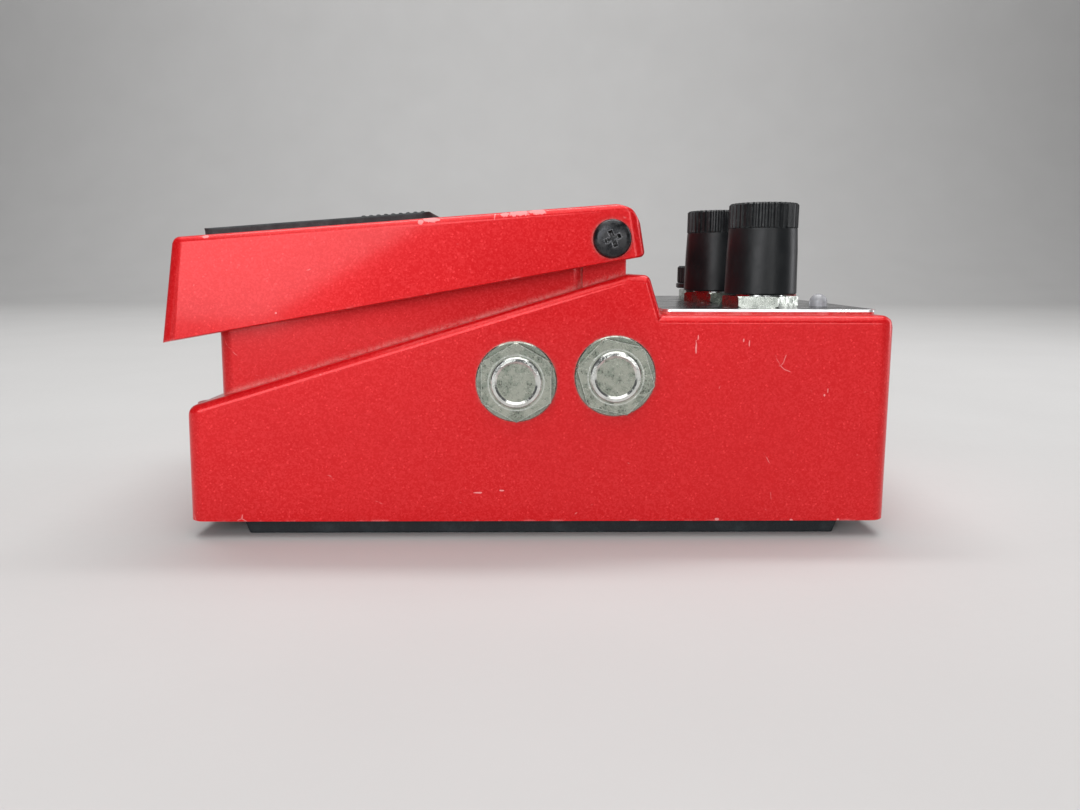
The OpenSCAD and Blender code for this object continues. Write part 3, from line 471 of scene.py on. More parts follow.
def under_hood(piece):
    """Trims a boss so that it ends inside the hood's roof."""
    return combine(piece, "INTERSECT", slab("boss_limit", [(-64.0, 20), (-61.0, 52.6), (17.0, 58.6), (18.4, 20)], 33.5))


niche = under_hood(block("niche_walls", (-64.6, -10, 37.2), (-55.6, 10, 60)))
spring_boss = under_hood(rod("spring_boss", (-41.2, 0, 50.3), (-41.2, 0, 60), 13.4))
switch_boss = under_hood(rod("switch_boss", (-41.9, 18.3, 51), (-41.9, 18.3, 60), 9.8))
combine(tread, "UNION", niche, spring_boss, switch_boss, rod("spring_peg", (-41.2, 0, 46.3), (-41.2, 0, 51.3), 8.4))
combine(tread, "DIFFERENCE",
        block("niche", (-70, -8, 30), (-58.0, 8, 62)),
        rod("stem_hole", (-60, 0, 43.4), (-54, 0, 43.4), 4.1, 48),
        rod("bush_hole", (hinge_x, -40, hinge_z), (hinge_x, 40, hinge_z), 5.3, 48),
        block("rear_cut", (14.6, -31.8, 30), (22, 31.8, 52.5)),
        block("ear_room_near", (14.55, -31.8, 51.2), (22, -23.9, 56)),
        block("ear_room_far", (14.55, 23.9, 51.2), (22, 31.8, 56)))
smooth(tread)
# The first five spots, along the treadle's top edge between x -19 and +1, are painted highlights where that edge
# catches the light.
tread_chips_and_highlights = [(-17.2, -33.8, 56.4, 3.0, 1.6, 1.2), (-19.0, -34.0, 56.0, 1.0, 1.2, 1.0), (-2.2, -33.8, 57.5, 3.4, 1.7, 1.2),
               (0.9, -33.8, 57.7, 2.8, 1.7, 1.2), (-4.6, -33.9, 57.3, 1.4, 1.5, 1.2), (-55.6, -33.9, 53.4, 1.2, 1.5, 0.8),
               (-44.2, -34.2, 40.5, 0.4, 1, 0.3)]
red_tread = enamel("red_enamel_treadle", tread_chips_and_highlights, 0.9)
dress(tread, red_tread, "treadle", ["treadle"])

# ---- Tread rubber and switch pad -------------------------------------------------------------
# A moulded rubber sheet glued to the treadle, with a thicker ribbed band behind its middle, and
# the small rubber disc that presses the foot switch.

tilt = math.atan2(59.36 - 53.3, 18.0 + 61.5)
pad_from, pad_to, pad_half = -58.7, -17.9, 27.2


def lay_on_treadle(piece):
    """Tilts a piece that was made flat at z = 0 from x = 0 on to the treadle's roof."""
    alone(piece)
    piece.matrix_world = (Matrix.Translation((pad_from * mm, 0, (tread_top(pad_from) + 0.02) * mm))
                          @ Matrix.Rotation(-tilt, 4, "Y"))
    bpy.ops.object.transform_apply(location=True, rotation=True, scale=True)
    return piece


pad_long = (pad_to - pad_from) / math.cos(tilt)
pad = block("tread_rubber", (0, -pad_half, 0), (pad_long, pad_half, 1.5))
round_off(pad, [(2.0, lambda p, way: upright(way)), (0.45, lambda p, way: p.z > 1.4)], sides=5)
open_up(pad)
pick(pad, "faces", lambda p, n: n.z > 0.99 and p.z > 1.4)
bpy.ops.mesh.inset(thickness=1.3 * mm)
bpy.ops.mesh.inset(thickness=0.25 * mm, depth=-0.22 * mm)
close()
band_long = 12.1
for i in range(9):
    rib_x = pad_long - band_long - 0.9 + i * band_long / 9
    rib = block("tread_rib", (rib_x, 3 - pad_half, 1.0), (rib_x + 0.8, pad_half - 3, 1.88))
    round_off(rib, [(0.28, lambda p, way: p.z > 1.8)], sides=3)
    combine(pad, "UNION", rib)
lay_on_treadle(smooth(pad, 40))

rubber_grain, gets, puts = effect("rubber_grain", {"Place": None, "Base": (0.02, 0.022, 0.024, 1), "Dusty": (0.1, 0.1, 0.1, 1),
                                                   "Bloom": 0.4}, {"Color": "Color", "Roughness": "Float", "Height": "Float"})
pores = noise(rubber_grain, gets["Place"], 0.22, 3, 0.7)
bloom = ramp(rubber_grain, noise(rubber_grain, gets["Place"], 7, 6, 0.72), 0.42, 0.7)
lint = ramp(rubber_grain, noise(rubber_grain, gets["Place"], 0.35, 1, 0.5), 0.70, 0.78)
share = sums(rubber_grain, "ADD", sums(rubber_grain, "MULTIPLY", bloom, gets["Bloom"]), sums(rubber_grain, "MULTIPLY", lint, 0.5), clamp=True)
rubber_grain.links.new(blendc(rubber_grain, share, gets["Base"], gets["Dusty"]), puts["Color"])
rubber_grain.links.new(ramp(rubber_grain, pores, 0.3, 0.7, 0.62, 0.8), puts["Roughness"])
rubber_grain.links.new(pores, puts["Height"])


def rubber(name, base, dusty, bloom):
    material, tree, shader, place = surface(name, specular_ior_level=0.45)
    grain = use(tree, rubber_grain, {"Place": place, "Base": (*base, 1), "Dusty": (*dusty, 1), "Bloom": bloom})
    edge = use(tree, worn_edge, {"Place": place, "Reach": 0.5, "Patch": 3.0, "Amount": 0.6})["Mask"]
    feed(tree, shader, Base_Color=blendc(tree, edge, grain["Color"], (*[v * 1.6 for v in dusty], 1)),
         Roughness=grain["Roughness"], Normal=bump(tree, grain["Height"], 0.05, 0.6))
    return material


black_rubber = rubber("tread_rubber", (0.016, 0.019, 0.021), (0.080, 0.092, 0.095), 0.6)
dress(pad, black_rubber, "treadle", ["treadle_pad"])


def turned(name, rings, sides=64, tube=False):
    """Lathe work about the z axis: rings of (radius, height), closed at both ends or a tube."""
    bpy.ops.object.select_all(action="DESELECT")
    (first, low), rest = rings[0], rings[1:]
    bpy.ops.mesh.primitive_circle_add(vertices=sides, radius=first * mm, location=(0, 0, low * mm),
                                      fill_type="NOTHING" if tube else "NGON")
    piece = named(name)
    open_up(piece, everything=True)
    if tube:
        rest = rest + [rings[0]]
    radius, height = first, low
    for r, z in rest:
        rise = {"value": (0, 0, (z - height) * mm)}
        if tube:
            bpy.ops.mesh.extrude_edges_move(TRANSFORM_OT_translate=rise)
        else:
            bpy.ops.mesh.extrude_region_move(TRANSFORM_OT_translate=rise)
        bpy.ops.transform.resize(value=(max(r, 1e-4) / max(radius, 1e-4),) * 2 + (1,), center_override=(0, 0, z * mm))
        radius, height = r, z
    bpy.ops.mesh.select_all(action="SELECT")
    bpy.ops.mesh.remove_doubles(threshold=5e-7)
    bpy.ops.mesh.normals_make_consistent(inside=False)
    close()
    return piece


def stand(piece, at, towards="Z", spin=0):
    """Turns a piece made upright at the origin towards an axis and puts it in its place."""
    alone(piece)
    turn = Vector({"Z": (0, 0, 1), "-Z": (0, 0, -1), "X": (1, 0, 0), "-X": (-1, 0, 0), "Y": (0, 1, 0), "-Y": (0, -1, 0)}[towards])
    piece.matrix_world = (Matrix.Translation(Vector(at) * mm) @ turn.to_track_quat("Z", "Y").to_matrix().to_4x4()
                          @ Matrix.Rotation(math.radians(spin), 4, "Z"))
    bpy.ops.object.transform_apply(location=True, rotation=True, scale=True)
    return piece


def twin(piece, name):
    copy = piece.copy()
    copy.data = piece.data.copy()
    copy.name = copy.data.name = name
    bpy.context.collection.objects.link(copy)
    return copy


disc = smooth(turned("switch_pad", [(2.9, 49.5), (3.2, 49.75), (3.2, 50.8), (3.05, 51.0)], 48))
dress(stand(disc, (-41.9, 18.3, 0)), black_rubber, "treadle", ["actuator_pad"])

# ---- Hinge screws and bushes -----------------------------------------------------------------
# A black cross-head screw on each side is the treadle's pivot. It turns in a flanged nylon bush
# that sits in the treadle's wall and bears on the ear of the case.


def cross_cut(piece, at, size, deep):
    """Presses a cross recess into a screw head whose top is at the height at."""
    wide = size * 0.27
    for name, (a, b) in (("slot_one", (size, wide)), ("slot_two", (wide, size))):
        slot = block(name, (-a / 2, -b / 2, at - deep), (a / 2, b / 2, at + 1))
        open_up(slot)
        pick(slot, "faces", lambda p, n: n.z < -0.9)
        bpy.ops.transform.resize(value=(0.55, 0.55, 1), center_override=(0, 0, 0))
        close()
        combine(piece, "DIFFERENCE", slot)
    return piece


def pan_screw(name, head, thick, shank, long, sides=64):
    """A pan-head screw with its head's seat at z = 0."""
    r, s = head / 2, shank / 2
    rings = [(s * 0.8, -long), (s, -long + 0.4), (s, 0), (r, 0), (r, thick * 0.35), (r * 0.97, thick * 0.6), (r * 0.88, thick * 0.84),
             (r * 0.7, thick * 0.97), (r * 0.4, thick)]
    return smooth(cross_cut(turned(name, rings, sides), thick, head * 0.56, thick * 0.75), 35)


metal_age, gets, puts = effect("metal_age", {"Place": None, "Clean": (0.6, 0.6, 0.58, 1), "Dull": (0.3, 0.31, 0.28, 1), "Pit": (0.03, 0.03, 0.03, 1),
                                             "Grain": 0.5, "Pits": 0.4}, {"Color": "Color", "Roughness": "Float", "Height": "Float"})
fine = noise(metal_age, gets["Place"], 0.3, 4, 0.8)
broad = noise(metal_age, gets["Place"], 1.6, 5, 0.7)
zones = ramp(metal_age, broad, 0.40, 0.62)
pit = sums(metal_age, "MULTIPLY", ramp(metal_age, fine, 0.52, 0.62), ramp(metal_age, broad, 0.42, 0.56))
pit = sums(metal_age, "MULTIPLY", pit, gets["Pits"], clamp=True)
metal_age.links.new(blendc(metal_age, pit, blendc(metal_age, zones, gets["Clean"], gets["Dull"]), gets["Pit"]), puts["Color"])
metal_age.links.new(sums(metal_age, "ADD", sums(metal_age, "MULTIPLY", zones, 0.16), sums(metal_age, "MULTIPLY", sums(metal_age, "ADD", fine, pit), gets["Grain"])),
                    puts["Roughness"])
metal_age.links.new(sums(metal_age, "SUBTRACT", sums(metal_age, "MULTIPLY", fine, 0.4), pit), puts["Height"])


def metal(name, clean, dull, pit=(0.03, 0.03, 0.03), grain=0.3, pits=0.4, rubbed_and_highlight=None, metallic=1.0):
    material, tree, shader, place = surface(name, metallic=metallic)
    age = use(tree, metal_age, {"Place": place, "Clean": (*clean, 1), "Dull": (*dull, 1), "Pit": (*pit, 1), "Grain": grain, "Pits": pits})
    colour = age["Color"]
    if rubbed_and_highlight:
        # The metal goes darker, towards near black, in the creases where the occlusion mask is high.
        crease_darkening = use(tree, crease_mask, {"Place": place, "Reach": 0.7, "Amount": 0.75})["Mask"]
        # The pale edge colour is rubbed bright metal in patches and, through Even, a painted highlight line along every
        # sharp edge.
        edge = use(tree, worn_edge, {"Place": place, "Reach": 0.3, "Patch": 1.2, "Amount": 0.95, "Even": 0.55})["Mask"]
        colour = blendc(tree, edge, blendc(tree, crease_darkening, colour, (0.05, 0.05, 0.045, 1)), (*rubbed_and_highlight, 1))
    feed(tree, shader, Base_Color=colour, Roughness=age["Roughness"], Normal=bump(tree, age["Height"], 0.03, 0.5))
    return material


black_oxide = metal("black_oxide", (0.020, 0.021, 0.024), (0.045, 0.045, 0.047), (0.01, 0.01, 0.01), 0.42, 0.3, rubbed_and_highlight=(0.42, 0.42, 0.44), metallic=0.7)
nylon, tree, shader, place = surface("nylon", specular_ior_level=0.4, subsurface_weight=0.15, subsurface_radius=(0.0008, 0.0008, 0.0006))
mottle = ramp(tree, noise(tree, place, 1.5, 4), 0.3, 0.7)
feed(tree, shader, Base_Color=blendc(tree, mottle, (0.66, 0.64, 0.56, 1), (0.74, 0.72, 0.65, 1)),
     Roughness=ramp(tree, mottle, 0, 1, 0.38, 0.5), Normal=bump(tree, noise(tree, place, 0.3), 0.02, 0.4))

pivot = pan_screw("pivot_screw", 6.6, 1.5, 3.0, 7.5)
for side, word in ((-1, "near"), (1, "far")):
    screw = stand(twin(pivot, f"pivot_screw_{word}"), (hinge_x, side * 34.3, hinge_z), "-Y" if side < 0 else "Y", 22 if side < 0 else 50)
    dress(screw, black_oxide, "case", ["hinge_screws"] if side < 0 else [])
    if side > 0:
        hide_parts("hinge_screws")
    low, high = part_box(f"{word}_hinge_bush")
    inner, outer = sorted((abs(low.y) / mm, abs(high.y) / mm))
    bush = turned(f"{word}_pivot_bush", [(3.1, 0), (3.1, 31.78 - inner), (2.6, 31.8 - inner), (2.6, outer - inner - 0.2), (2.4, outer - inner),
                                         (1.55, outer - inner), (1.55, 0)], 48, tube=True)
    stand(smooth(bush), (hinge_x, side * inner, hinge_z), "-Y" if side < 0 else "Y")
    dress(bush, nylon, "press_link", [f"{word}_hinge_bush"])
bpy.data.objects.remove(pivot)

# ---- Thumbscrew ------------------------------------------------------------------------------
# A black screw with a straight-knurled head, caught in the treadle's niche by a spring clip. Its
# tip enters the guide bush in the front of the case and holds the treadle down.


def knurled(name, radius, low, high, ribs, depth=0.3, chamfer=0.3):
    """A knurled drum: every other pair of edges round it is pulled in to make the grooves."""
    drum = turned(name, [(radius - chamfer, low), (radius, low + chamfer), (radius, high - chamfer), (radius - chamfer, high)], ribs * 4)
    open_up(drum)
    step = math.pi / (2 * ribs)
    pick(drum, "verts", lambda p: round(math.atan2(p.y, p.x) / step) % 4 in (0, 1))
    bpy.ops.transform.resize(value=((radius - depth) / radius,) * 2 + (1,), center_override=(0, 0, 0))
    close()
    return drum


stem = turned("thumbscrew_stem", [(2.0, 4.0), (2.0, 8.68), (1.5, 8.7), (1.5, 9.3), (1.7, 9.32), (1.7, 11.2), (1.3, 11.6)], 48)
head = knurled("thumbscrew_knob", 5.0, 0.0, 4.0, 24, 0.4, 0.4)
dimple = turned("thumbscrew_dimple", [(3.4, -1), (3.4, 0.0), (2.9, 0.35)], 48)
combine(head, "DIFFERENCE", dimple)
combine(head, "UNION", stem)
dress(stand(smooth(head, 28), (-64.2, 0, 43.4), "X"), black_oxide, "thumbscrew", ["thumbscrew"])
zinc = metal("zinc_plate", (0.62, 0.63, 0.62), (0.42, 0.43, 0.42), (0.1, 0.1, 0.1), 0.28, 0.3)
clip = smooth(turned("thumbscrew_ring", [(3.6, 0), (3.6, 0.6), (1.55, 0.6), (1.55, 0)], 48, tube=True))
gap = block("ring_gap", (-0.9, 0.4, -1), (0.9, 5, 1))
dress(stand(combine(clip, "DIFFERENCE", gap), (-55.5, 0, 43.4), "X"), zinc, "thumbscrew_clip", ["thumbscrew_clip"])

# ---- Underside -------------------------------------------------------------------------------
# A pressed steel lid closes the case from below, held by four screws in its corners. A sheet of
# fibre lies on it under the circuit board, and a rubber mat is glued beneath it as the foot.

mat = block("base_mat", (-53.4, -31.5, 0), (57.3, 31.5, floor_z))
open_up(mat)
for end, way in ((-53.4, 1), (57.3, -1)):
    pick(mat, "faces", lambda p, n: abs(p.x - end) < 0.1)
    bpy.ops.mesh.select_mode(type="EDGE")
    pick(mat, "edges", lambda p, w: abs(p.x - end) < 0.1 and p.z < 0.1 and across(w))
    bpy.ops.transform.translate(value=(way * 1.2 * mm, 0, 0))
close()
round_off(mat, [(1.2, lambda p, way: abs(way.z) > 0.8), (0.35, lambda p, way: abs(way.z) <= 0.8 and p.z < 0.1)], sides=4)
open_up(mat)
pick(mat, "faces", lambda p, n: n.z < -0.99)
bpy.ops.mesh.inset(thickness=2.2 * mm)
bpy.ops.mesh.inset(thickness=0.3 * mm, depth=-0.25 * mm)
close()
mat_rubber = rubber("mat_rubber", (0.010, 0.014, 0.017), (0.050, 0.068, 0.074), 0.45)
dress(smooth(mat), mat_rubber, "case", ["rubber_mat"])

lid = block("base_lid", (-60.4, -33.0, floor_z), (63.0, 33.0, 4.2))
round_off(lid, [(2.5, lambda p, way: upright(way)), (0.2, lambda p, way: p.z < 3.3)], sides=4)
combine(lid, "DIFFERENCE", *[rod("lid_hole", (x, y, 2), (x, y, 6), 3.1, 24) for x in (-57.4, 60.0) for y in (-28, 28)])
lid_steel = metal("lid_steel", (0.36, 0.37, 0.38), (0.25, 0.26, 0.26), (0.05, 0.04, 0.03), 0.45, 0.3, metallic=0.9)
dress(smooth(lid), lid_steel, "case", ["bottom_plate"])

lid_screw = pan_screw("lid_screw", 5.0, 1.1, 2.9, 7.0, 48)
for i, (x, y) in enumerate([(x, y) for x in (-57.4, 60.0) for y in (-28, 28)]):
    copy = stand(twin(lid_screw, f"lid_screw_{i + 1}"), (x, y, floor_z), "-Z", 17 + 31 * i)
    dress(copy, black_oxide, "case", ["bottom_plate_screws"])
bpy.data.objects.remove(lid_screw)

fibre, tree, shader, place = surface("fibre_sheet", specular_ior_level=0.3)
threads = add(tree, "TexNoise", {"Vector": add(tree, "Mapping", {"Vector": place, "Scale": (1, 12, 1)}).outputs[0], "Scale": 220.0, "Detail": 4.0}).outputs["Fac"]
feed(tree, shader, Base_Color=blendc(tree, threads, (0.05, 0.05, 0.048, 1), (0.12, 0.115, 0.10, 1)),
     Roughness=ramp(tree, threads, 0.3, 0.7, 0.55, 0.75), Normal=bump(tree, threads, 0.05, 0.4))


def dress_node(node, *materials):
    """Gives a carried-over CAD node a new material in each of its slots."""
    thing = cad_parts[node]
    for i, slot in enumerate(thing.material_slots):
        slot.material = materials[min(i, len(materials) - 1)]
    if not thing.material_slots:
        for material in materials:
            thing.data.materials.append(material)


dress_node("insulating_sheet", fibre)

# ---- Circuit boards and wiring ---------------------------------------------------------------
# Two glass-fibre boards: the main one on four lugs, the small one carried by the controls. Thin
# stranded wires and a grey ribbon join them to the jacks.

board, tree, shader, place = surface("board_green", specular_ior_level=0.55, coat_roughness=0.2)
flat = add(tree, "SeparateXYZ", {0: place}).outputs
lanes = add(tree, "TexVoronoi", {"Vector": place, "Scale": 260.0, "Randomness": 0.35}, distance="CHEBYCHEV", feature="DISTANCE_TO_EDGE").outputs["Distance"]
track = ramp(tree, lanes, 0.08, 0.12)
pads = add(tree, "TexVoronoi", {"Vector": place, "Scale": 390.0, "Randomness": 0.6}).outputs["Distance"]
solder = ramp(tree, pads, 0.17, 0.13)
green = blendc(tree, track, (0.02, 0.10, 0.045, 1), (0.012, 0.055, 0.03, 1))
feed(tree, shader, Base_Color=blendc(tree, solder, green, (0.55, 0.55, 0.52, 1)), Metallic=sums(tree, "MULTIPLY", solder, 0.9),
     Roughness=ramp(tree, noise(tree, place, 3), 0.3, 0.7, 0.28, 0.4), Normal=bump(tree, sums(tree, "SUBTRACT", solder, track), 0.06, 0.5))
moulding, tree, shader, place = surface("component_moulding", specular_ior_level=0.45)
fine_speck = noise(tree, place, 0.25, 3, 0.6)
feed(tree, shader, Base_Color=blendc(tree, fine_speck, (0.012, 0.013, 0.016, 1), (0.035, 0.036, 0.042, 1)),
     Roughness=ramp(tree, noise(tree, place, 2), 0.3, 0.7, 0.35, 0.5), Normal=bump(tree, fine_speck, 0.02, 0.5))


def sleeving(name, deep, pale, stripe=None):
    material, tree, shader, place = surface(name, specular_ior_level=0.5, coat_roughness=0.3)
    soil = noise(tree, place, 1.2, 4, 0.65)
    colour = blendc(tree, ramp(tree, soil, 0.35, 0.7), (*deep, 1), (*pale, 1))
    if stripe:
        across_y = add(tree, "SeparateXYZ", {0: place}).outputs[1]
        comb = sums(tree, "FRACT", sums(tree, "DIVIDE", across_y, 1.27 * mm))
        colour = blendc(tree, ramp(tree, sums(tree, "ABSOLUTE", sums(tree, "SUBTRACT", comb, 0.5)), 0.38, 0.46), colour, (*stripe, 1))
    feed(tree, shader, Base_Color=colour, Roughness=ramp(tree, soil, 0.3, 0.7, 0.3, 0.5), Normal=bump(tree, noise(tree, place, 0.4), 0.03, 0.4))
    return material


red_wire = sleeving("red_sleeving", (0.30, 0.012, 0.01), (0.48, 0.03, 0.025))
grey_ribbon = sleeving("grey_ribbon", (0.22, 0.22, 0.23), (0.32, 0.32, 0.33), stripe=(0.08, 0.08, 0.085))
for node in ("main_board", "control_board"):
    dress_node(node, board)
dress_node("main_board_screws", zinc)
dress_node("board_components", moulding)
dress_node("ribbon_cable", grey_ribbon)
dress_node("jack_wires", red_wire)

# ---- Panel plate -----------------------------------------------------------------------------
# A thin aluminium plate laid on the rear deck under the control nuts. Its top is lacquered black
# with plain scale ticks round each control; its cut edges are bare bright metal.

controls = {"near": (43.0, -21.5), "middle": (39.4, 0.0), "dual": (42.3, 21.0)}
plate = block("panel_plate_top", (23.1, -32.5, 40.72), (60.8, 32.5, 41.2))
round_off(plate, [(1.5, lambda p, way: upright(way)), (0.1, lambda p, way: p.z > 41.1)], sides=5)
combine(plate, "DIFFERENCE", *[rod("control_hole", (x, y, 39), (x, y, 43), 9.2, 48) for x, y in controls.values()],
        *[rod("lamp_opening", (x, y, 39), (x, y, 43), 3.45, 32) for x, y in ((54.7, -20), (55.4, 0))])
smooth(plate)

ticks, gets, puts = effect("scale_ticks", {"Place": None, "X": 0.0, "Y": 0.0, "Inner": 7.6, "Outer": 9.0}, {"Mask": "Float"})
centre = add(ticks, "CombineXYZ", {0: sums(ticks, "MULTIPLY", gets["X"], mm), 1: sums(ticks, "MULTIPLY", gets["Y"], mm)}).outputs[0]
arm = add(ticks, "SeparateXYZ", {0: add(ticks, "VectorMath", {0: gets["Place"], 1: centre}, operation="SUBTRACT").outputs[0]}).outputs
away = sums(ticks, "SQRT", sums(ticks, "ADD", sums(ticks, "MULTIPLY", arm[0], arm[0]), sums(ticks, "MULTIPLY", arm[1], arm[1])))
bearing = sums(ticks, "ARCTAN2", arm[1], arm[0])
turn_share = sums(ticks, "DIVIDE", bearing, math.radians(30))
off_tick = sums(ticks, "MULTIPLY", sums(ticks, "ABSOLUTE", sums(ticks, "SUBTRACT", turn_share, sums(ticks, "ROUND", turn_share))), away)
line = ramp(ticks, off_tick, 0.42 * mm, 0.34 * mm)
ring = sums(ticks, "MULTIPLY", ramp(ticks, away, sums(ticks, "MULTIPLY", gets["Inner"], mm), sums(ticks, "MULTIPLY", sums(ticks, "ADD", gets["Inner"], 0.12), mm)),
            ramp(ticks, away, sums(ticks, "MULTIPLY", sums(ticks, "ADD", gets["Outer"], 0.12), mm), sums(ticks, "MULTIPLY", gets["Outer"], mm)))
open_side = ramp(ticks, sums(ticks, "ABSOLUTE", bearing), math.radians(20), math.radians(22))
ticks.links.new(sums(ticks, "MULTIPLY", sums(ticks, "MULTIPLY", line, ring), open_side), puts["Mask"])

panel, tree, shader, place = surface("panel_lacquer", specular_ior_level=0.5)
facing = add(tree, "SeparateXYZ", {0: add(tree, "NewGeometry").outputs["Normal"]}).outputs
topside = ramp(tree, facing[2], 0.75, 0.9)
dial = None
for x, y in controls.values():
    one = use(tree, ticks, {"Place": place, "X": x, "Y": y})["Mask"]
    dial = one if dial is None else sums(tree, "MAXIMUM", dial, one)
rub = use(tree, worn_edge, {"Place": place, "Reach": 0.3, "Patch": 6.0, "Amount": 1.0})["Mask"]
specks = use(tree, crease_mask, {"Place": place, "Reach": 1.5, "Amount": 0.35})["Mask"]
lacquer = blendc(tree, noise(tree, place, 12, 4), (0.010, 0.011, 0.012, 1), (0.022, 0.022, 0.024, 1))
lacquer = blendc(tree, dial, blendc(tree, specks, lacquer, (0.22, 0.21, 0.2, 1)), (0.78, 0.78, 0.76, 1))
bare = sums(tree, "MAXIMUM", sums(tree, "SUBTRACT", 1.0, topside), rub)
feed(tree, shader, Base_Color=blendc(tree, bare, lacquer, (0.88, 0.89, 0.90, 1)), Metallic=bare,
     Roughness=sums(tree, "ADD", ramp(tree, noise(tree, place, 5, 4), 0.3, 0.7, 0.16, 0.28), sums(tree, "MULTIPLY", bare, 0.1)),
     Normal=bump(tree, sums(tree, "ADD", dial, noise(tree, place, 0.5)), 0.02, 0.25))
dress(plate, panel, "case", ["panel_plate"])

# ---- Controls: pots, nuts and shafts ---------------------------------------------------------
# Three rotary controls are held in the deck by thin hexagon nuts. The far one is two controls on
# one centre, with a tube shaft round a solid one.


def hex_nut(name, flats, thick, bore, chamfer=0.35):
    """A hexagon nut on z = 0, chamfered on both faces as it comes off the lathe."""
    r = flats / 2 / math.cos(math.radians(30))
    nut = turned(name, [(r, 0), (r, thick)], 6)
    turning = turned("nut_turning", [(r - 0.25, 0), (r + 0.1, chamfer), (r + 0.1, thick - chamfer), (r - 0.25, thick)], 96)
    combine(nut, "INTERSECT", turning)
    combine(nut, "DIFFERENCE", turned("nut_bore", [(bore / 2 + 0.25, -0.01), (bore / 2, 0.25), (bore / 2, thick - 0.25), (bore / 2 + 0.25, thick + 0.01)], 64))
    return smooth(nut, 25)


nickel = metal("old_nickel", (0.47, 0.49, 0.42), (0.27, 0.30, 0.25), (0.04, 0.04, 0.035), 0.36, 0.95, rubbed_and_highlight=(0.82, 0.84, 0.80))
deck_nickel = metal("deck_nickel", (0.40, 0.42, 0.38), (0.27, 0.29, 0.26), (0.08, 0.08, 0.075), 0.34, 0.35, rubbed_and_highlight=(0.62, 0.64, 0.6))
deck_nut = hex_nut("deck_nut", 12.0, 2.0, 9.1)
for spin, (word, (x, y)) in zip((12, 40, 3), controls.items()):
    dress(stand(twin(deck_nut, f"{word}_deck_nut"), (x, y, 41.2), "Z", spin), deck_nickel, "case", ["pot_nuts"])
bpy.data.objects.remove(deck_nut)
for node in ("near_pot", "middle_pot", "dual_pot", "near_shaft", "middle_shaft", "dual_outer_shaft", "dual_inner_shaft"):
    dress_node(node, zinc)

# ---- Knobs -----------------------------------------------------------------------------------
# Moulded in black plastic with a satin skin: two tall knobs with a fluted band round the top, and
# for the dual control a fluted ring with a smaller knob standing on it.


def black_plastic(name, base, dusty):
    material, tree, shader, place = surface(name, specular_ior_level=0.3)
    skin = noise(tree, place, 0.12, 3, 0.6)
    wipe = ramp(tree, noise(tree, place, 4, 5, 0.7), 0.38, 0.72)
    dust = use(tree, crease_mask, {"Place": place, "Reach": 0.8, "Amount": 0.6})["Mask"]
    edge = use(tree, worn_edge, {"Place": place, "Reach": 0.18, "Patch": 0.9, "Amount": 0.55})["Mask"]
    colour = blendc(tree, sums(tree, "MULTIPLY", wipe, 0.5), (*base, 1), (*dusty, 1))
    colour = blendc(tree, sums(tree, "MAXIMUM", sums(tree, "MULTIPLY", dust, 0.5), edge), colour, (0.16, 0.17, 0.17, 1))
    feed(tree, shader, Base_Color=colour, Roughness=sums(tree, "ADD", ramp(tree, wipe, 0, 1, 0.33, 0.45), sums(tree, "MULTIPLY", dust, 0.3)),
         Normal=bump(tree, skin, 0.015, 0.5))
    return material


knob_black = black_plastic("knob_plastic", (0.008, 0.009, 0.010), (0.016, 0.018, 0.019))
white_line, tree, shader, place = surface("pointer_paint", specular_ior_level=0.4)
streak = noise(tree, place, 0.3, 4)
feed(tree, shader, Base_Color=blendc(tree, streak, (0.62, 0.62, 0.60, 1), (0.80, 0.80, 0.78, 1)), Roughness=ramp(tree, streak, 0.3, 0.7, 0.4, 0.6),
     Normal=bump(tree, streak, 0.02, 0.4))


def pointer(knob, x, low, high, wide=0.8):
    """Cuts the pointer groove down one side and fills its floor with white paint."""
    groove = block("pointer_groove", (-x - 1, -wide / 2, low), (-x + 0.35, wide / 2, high + 1))
    combine(knob, "DIFFERENCE", groove)
    knob.data.materials.clear()
    knob.data.materials.append(knob_black)
    knob.data.materials.append(white_line)
    for face in knob.data.polygons:
        middle = face.center / mm
        if abs(middle.y) < wide / 2 and abs(middle.x + x - 0.35) < 0.03 and face.normal.x < -0.9:
            face.material_index = 1
    return knob


def tall_knob(name):
    body = turned(name, [(6.35, 0), (6.6, 0.25), (6.42, 8), (6.22, 11.95), (5.5, 12.0)], 96)
    cap = knurled("fluted_band", 6.28, 11.85, 16.5, 36, 0.42, 0.3)
    crown = turned("crown_dish", [(4.7, 16.2), (5.1, 16.6)], 96)
    combine(body, "UNION", combine(cap, "DIFFERENCE", crown))
    combine(body, "DIFFERENCE", rod("knob_socket", (0, 0, -1), (0, 0, 2.0), 9.5))
    return smooth(pointer(body, 6.28, 12.4, 17), 26)


tall = tall_knob("tall_knob")
for word, spin in (("near", 38), ("middle", -15)):
    x, y = controls[word]
    knob = stand(twin(tall, f"{word}_tall_knob"), (x, y, 43.5), "Z", spin)
    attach(knob, f"{word}_control")
    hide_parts(f"{word}_knob")
bpy.data.objects.remove(tall)

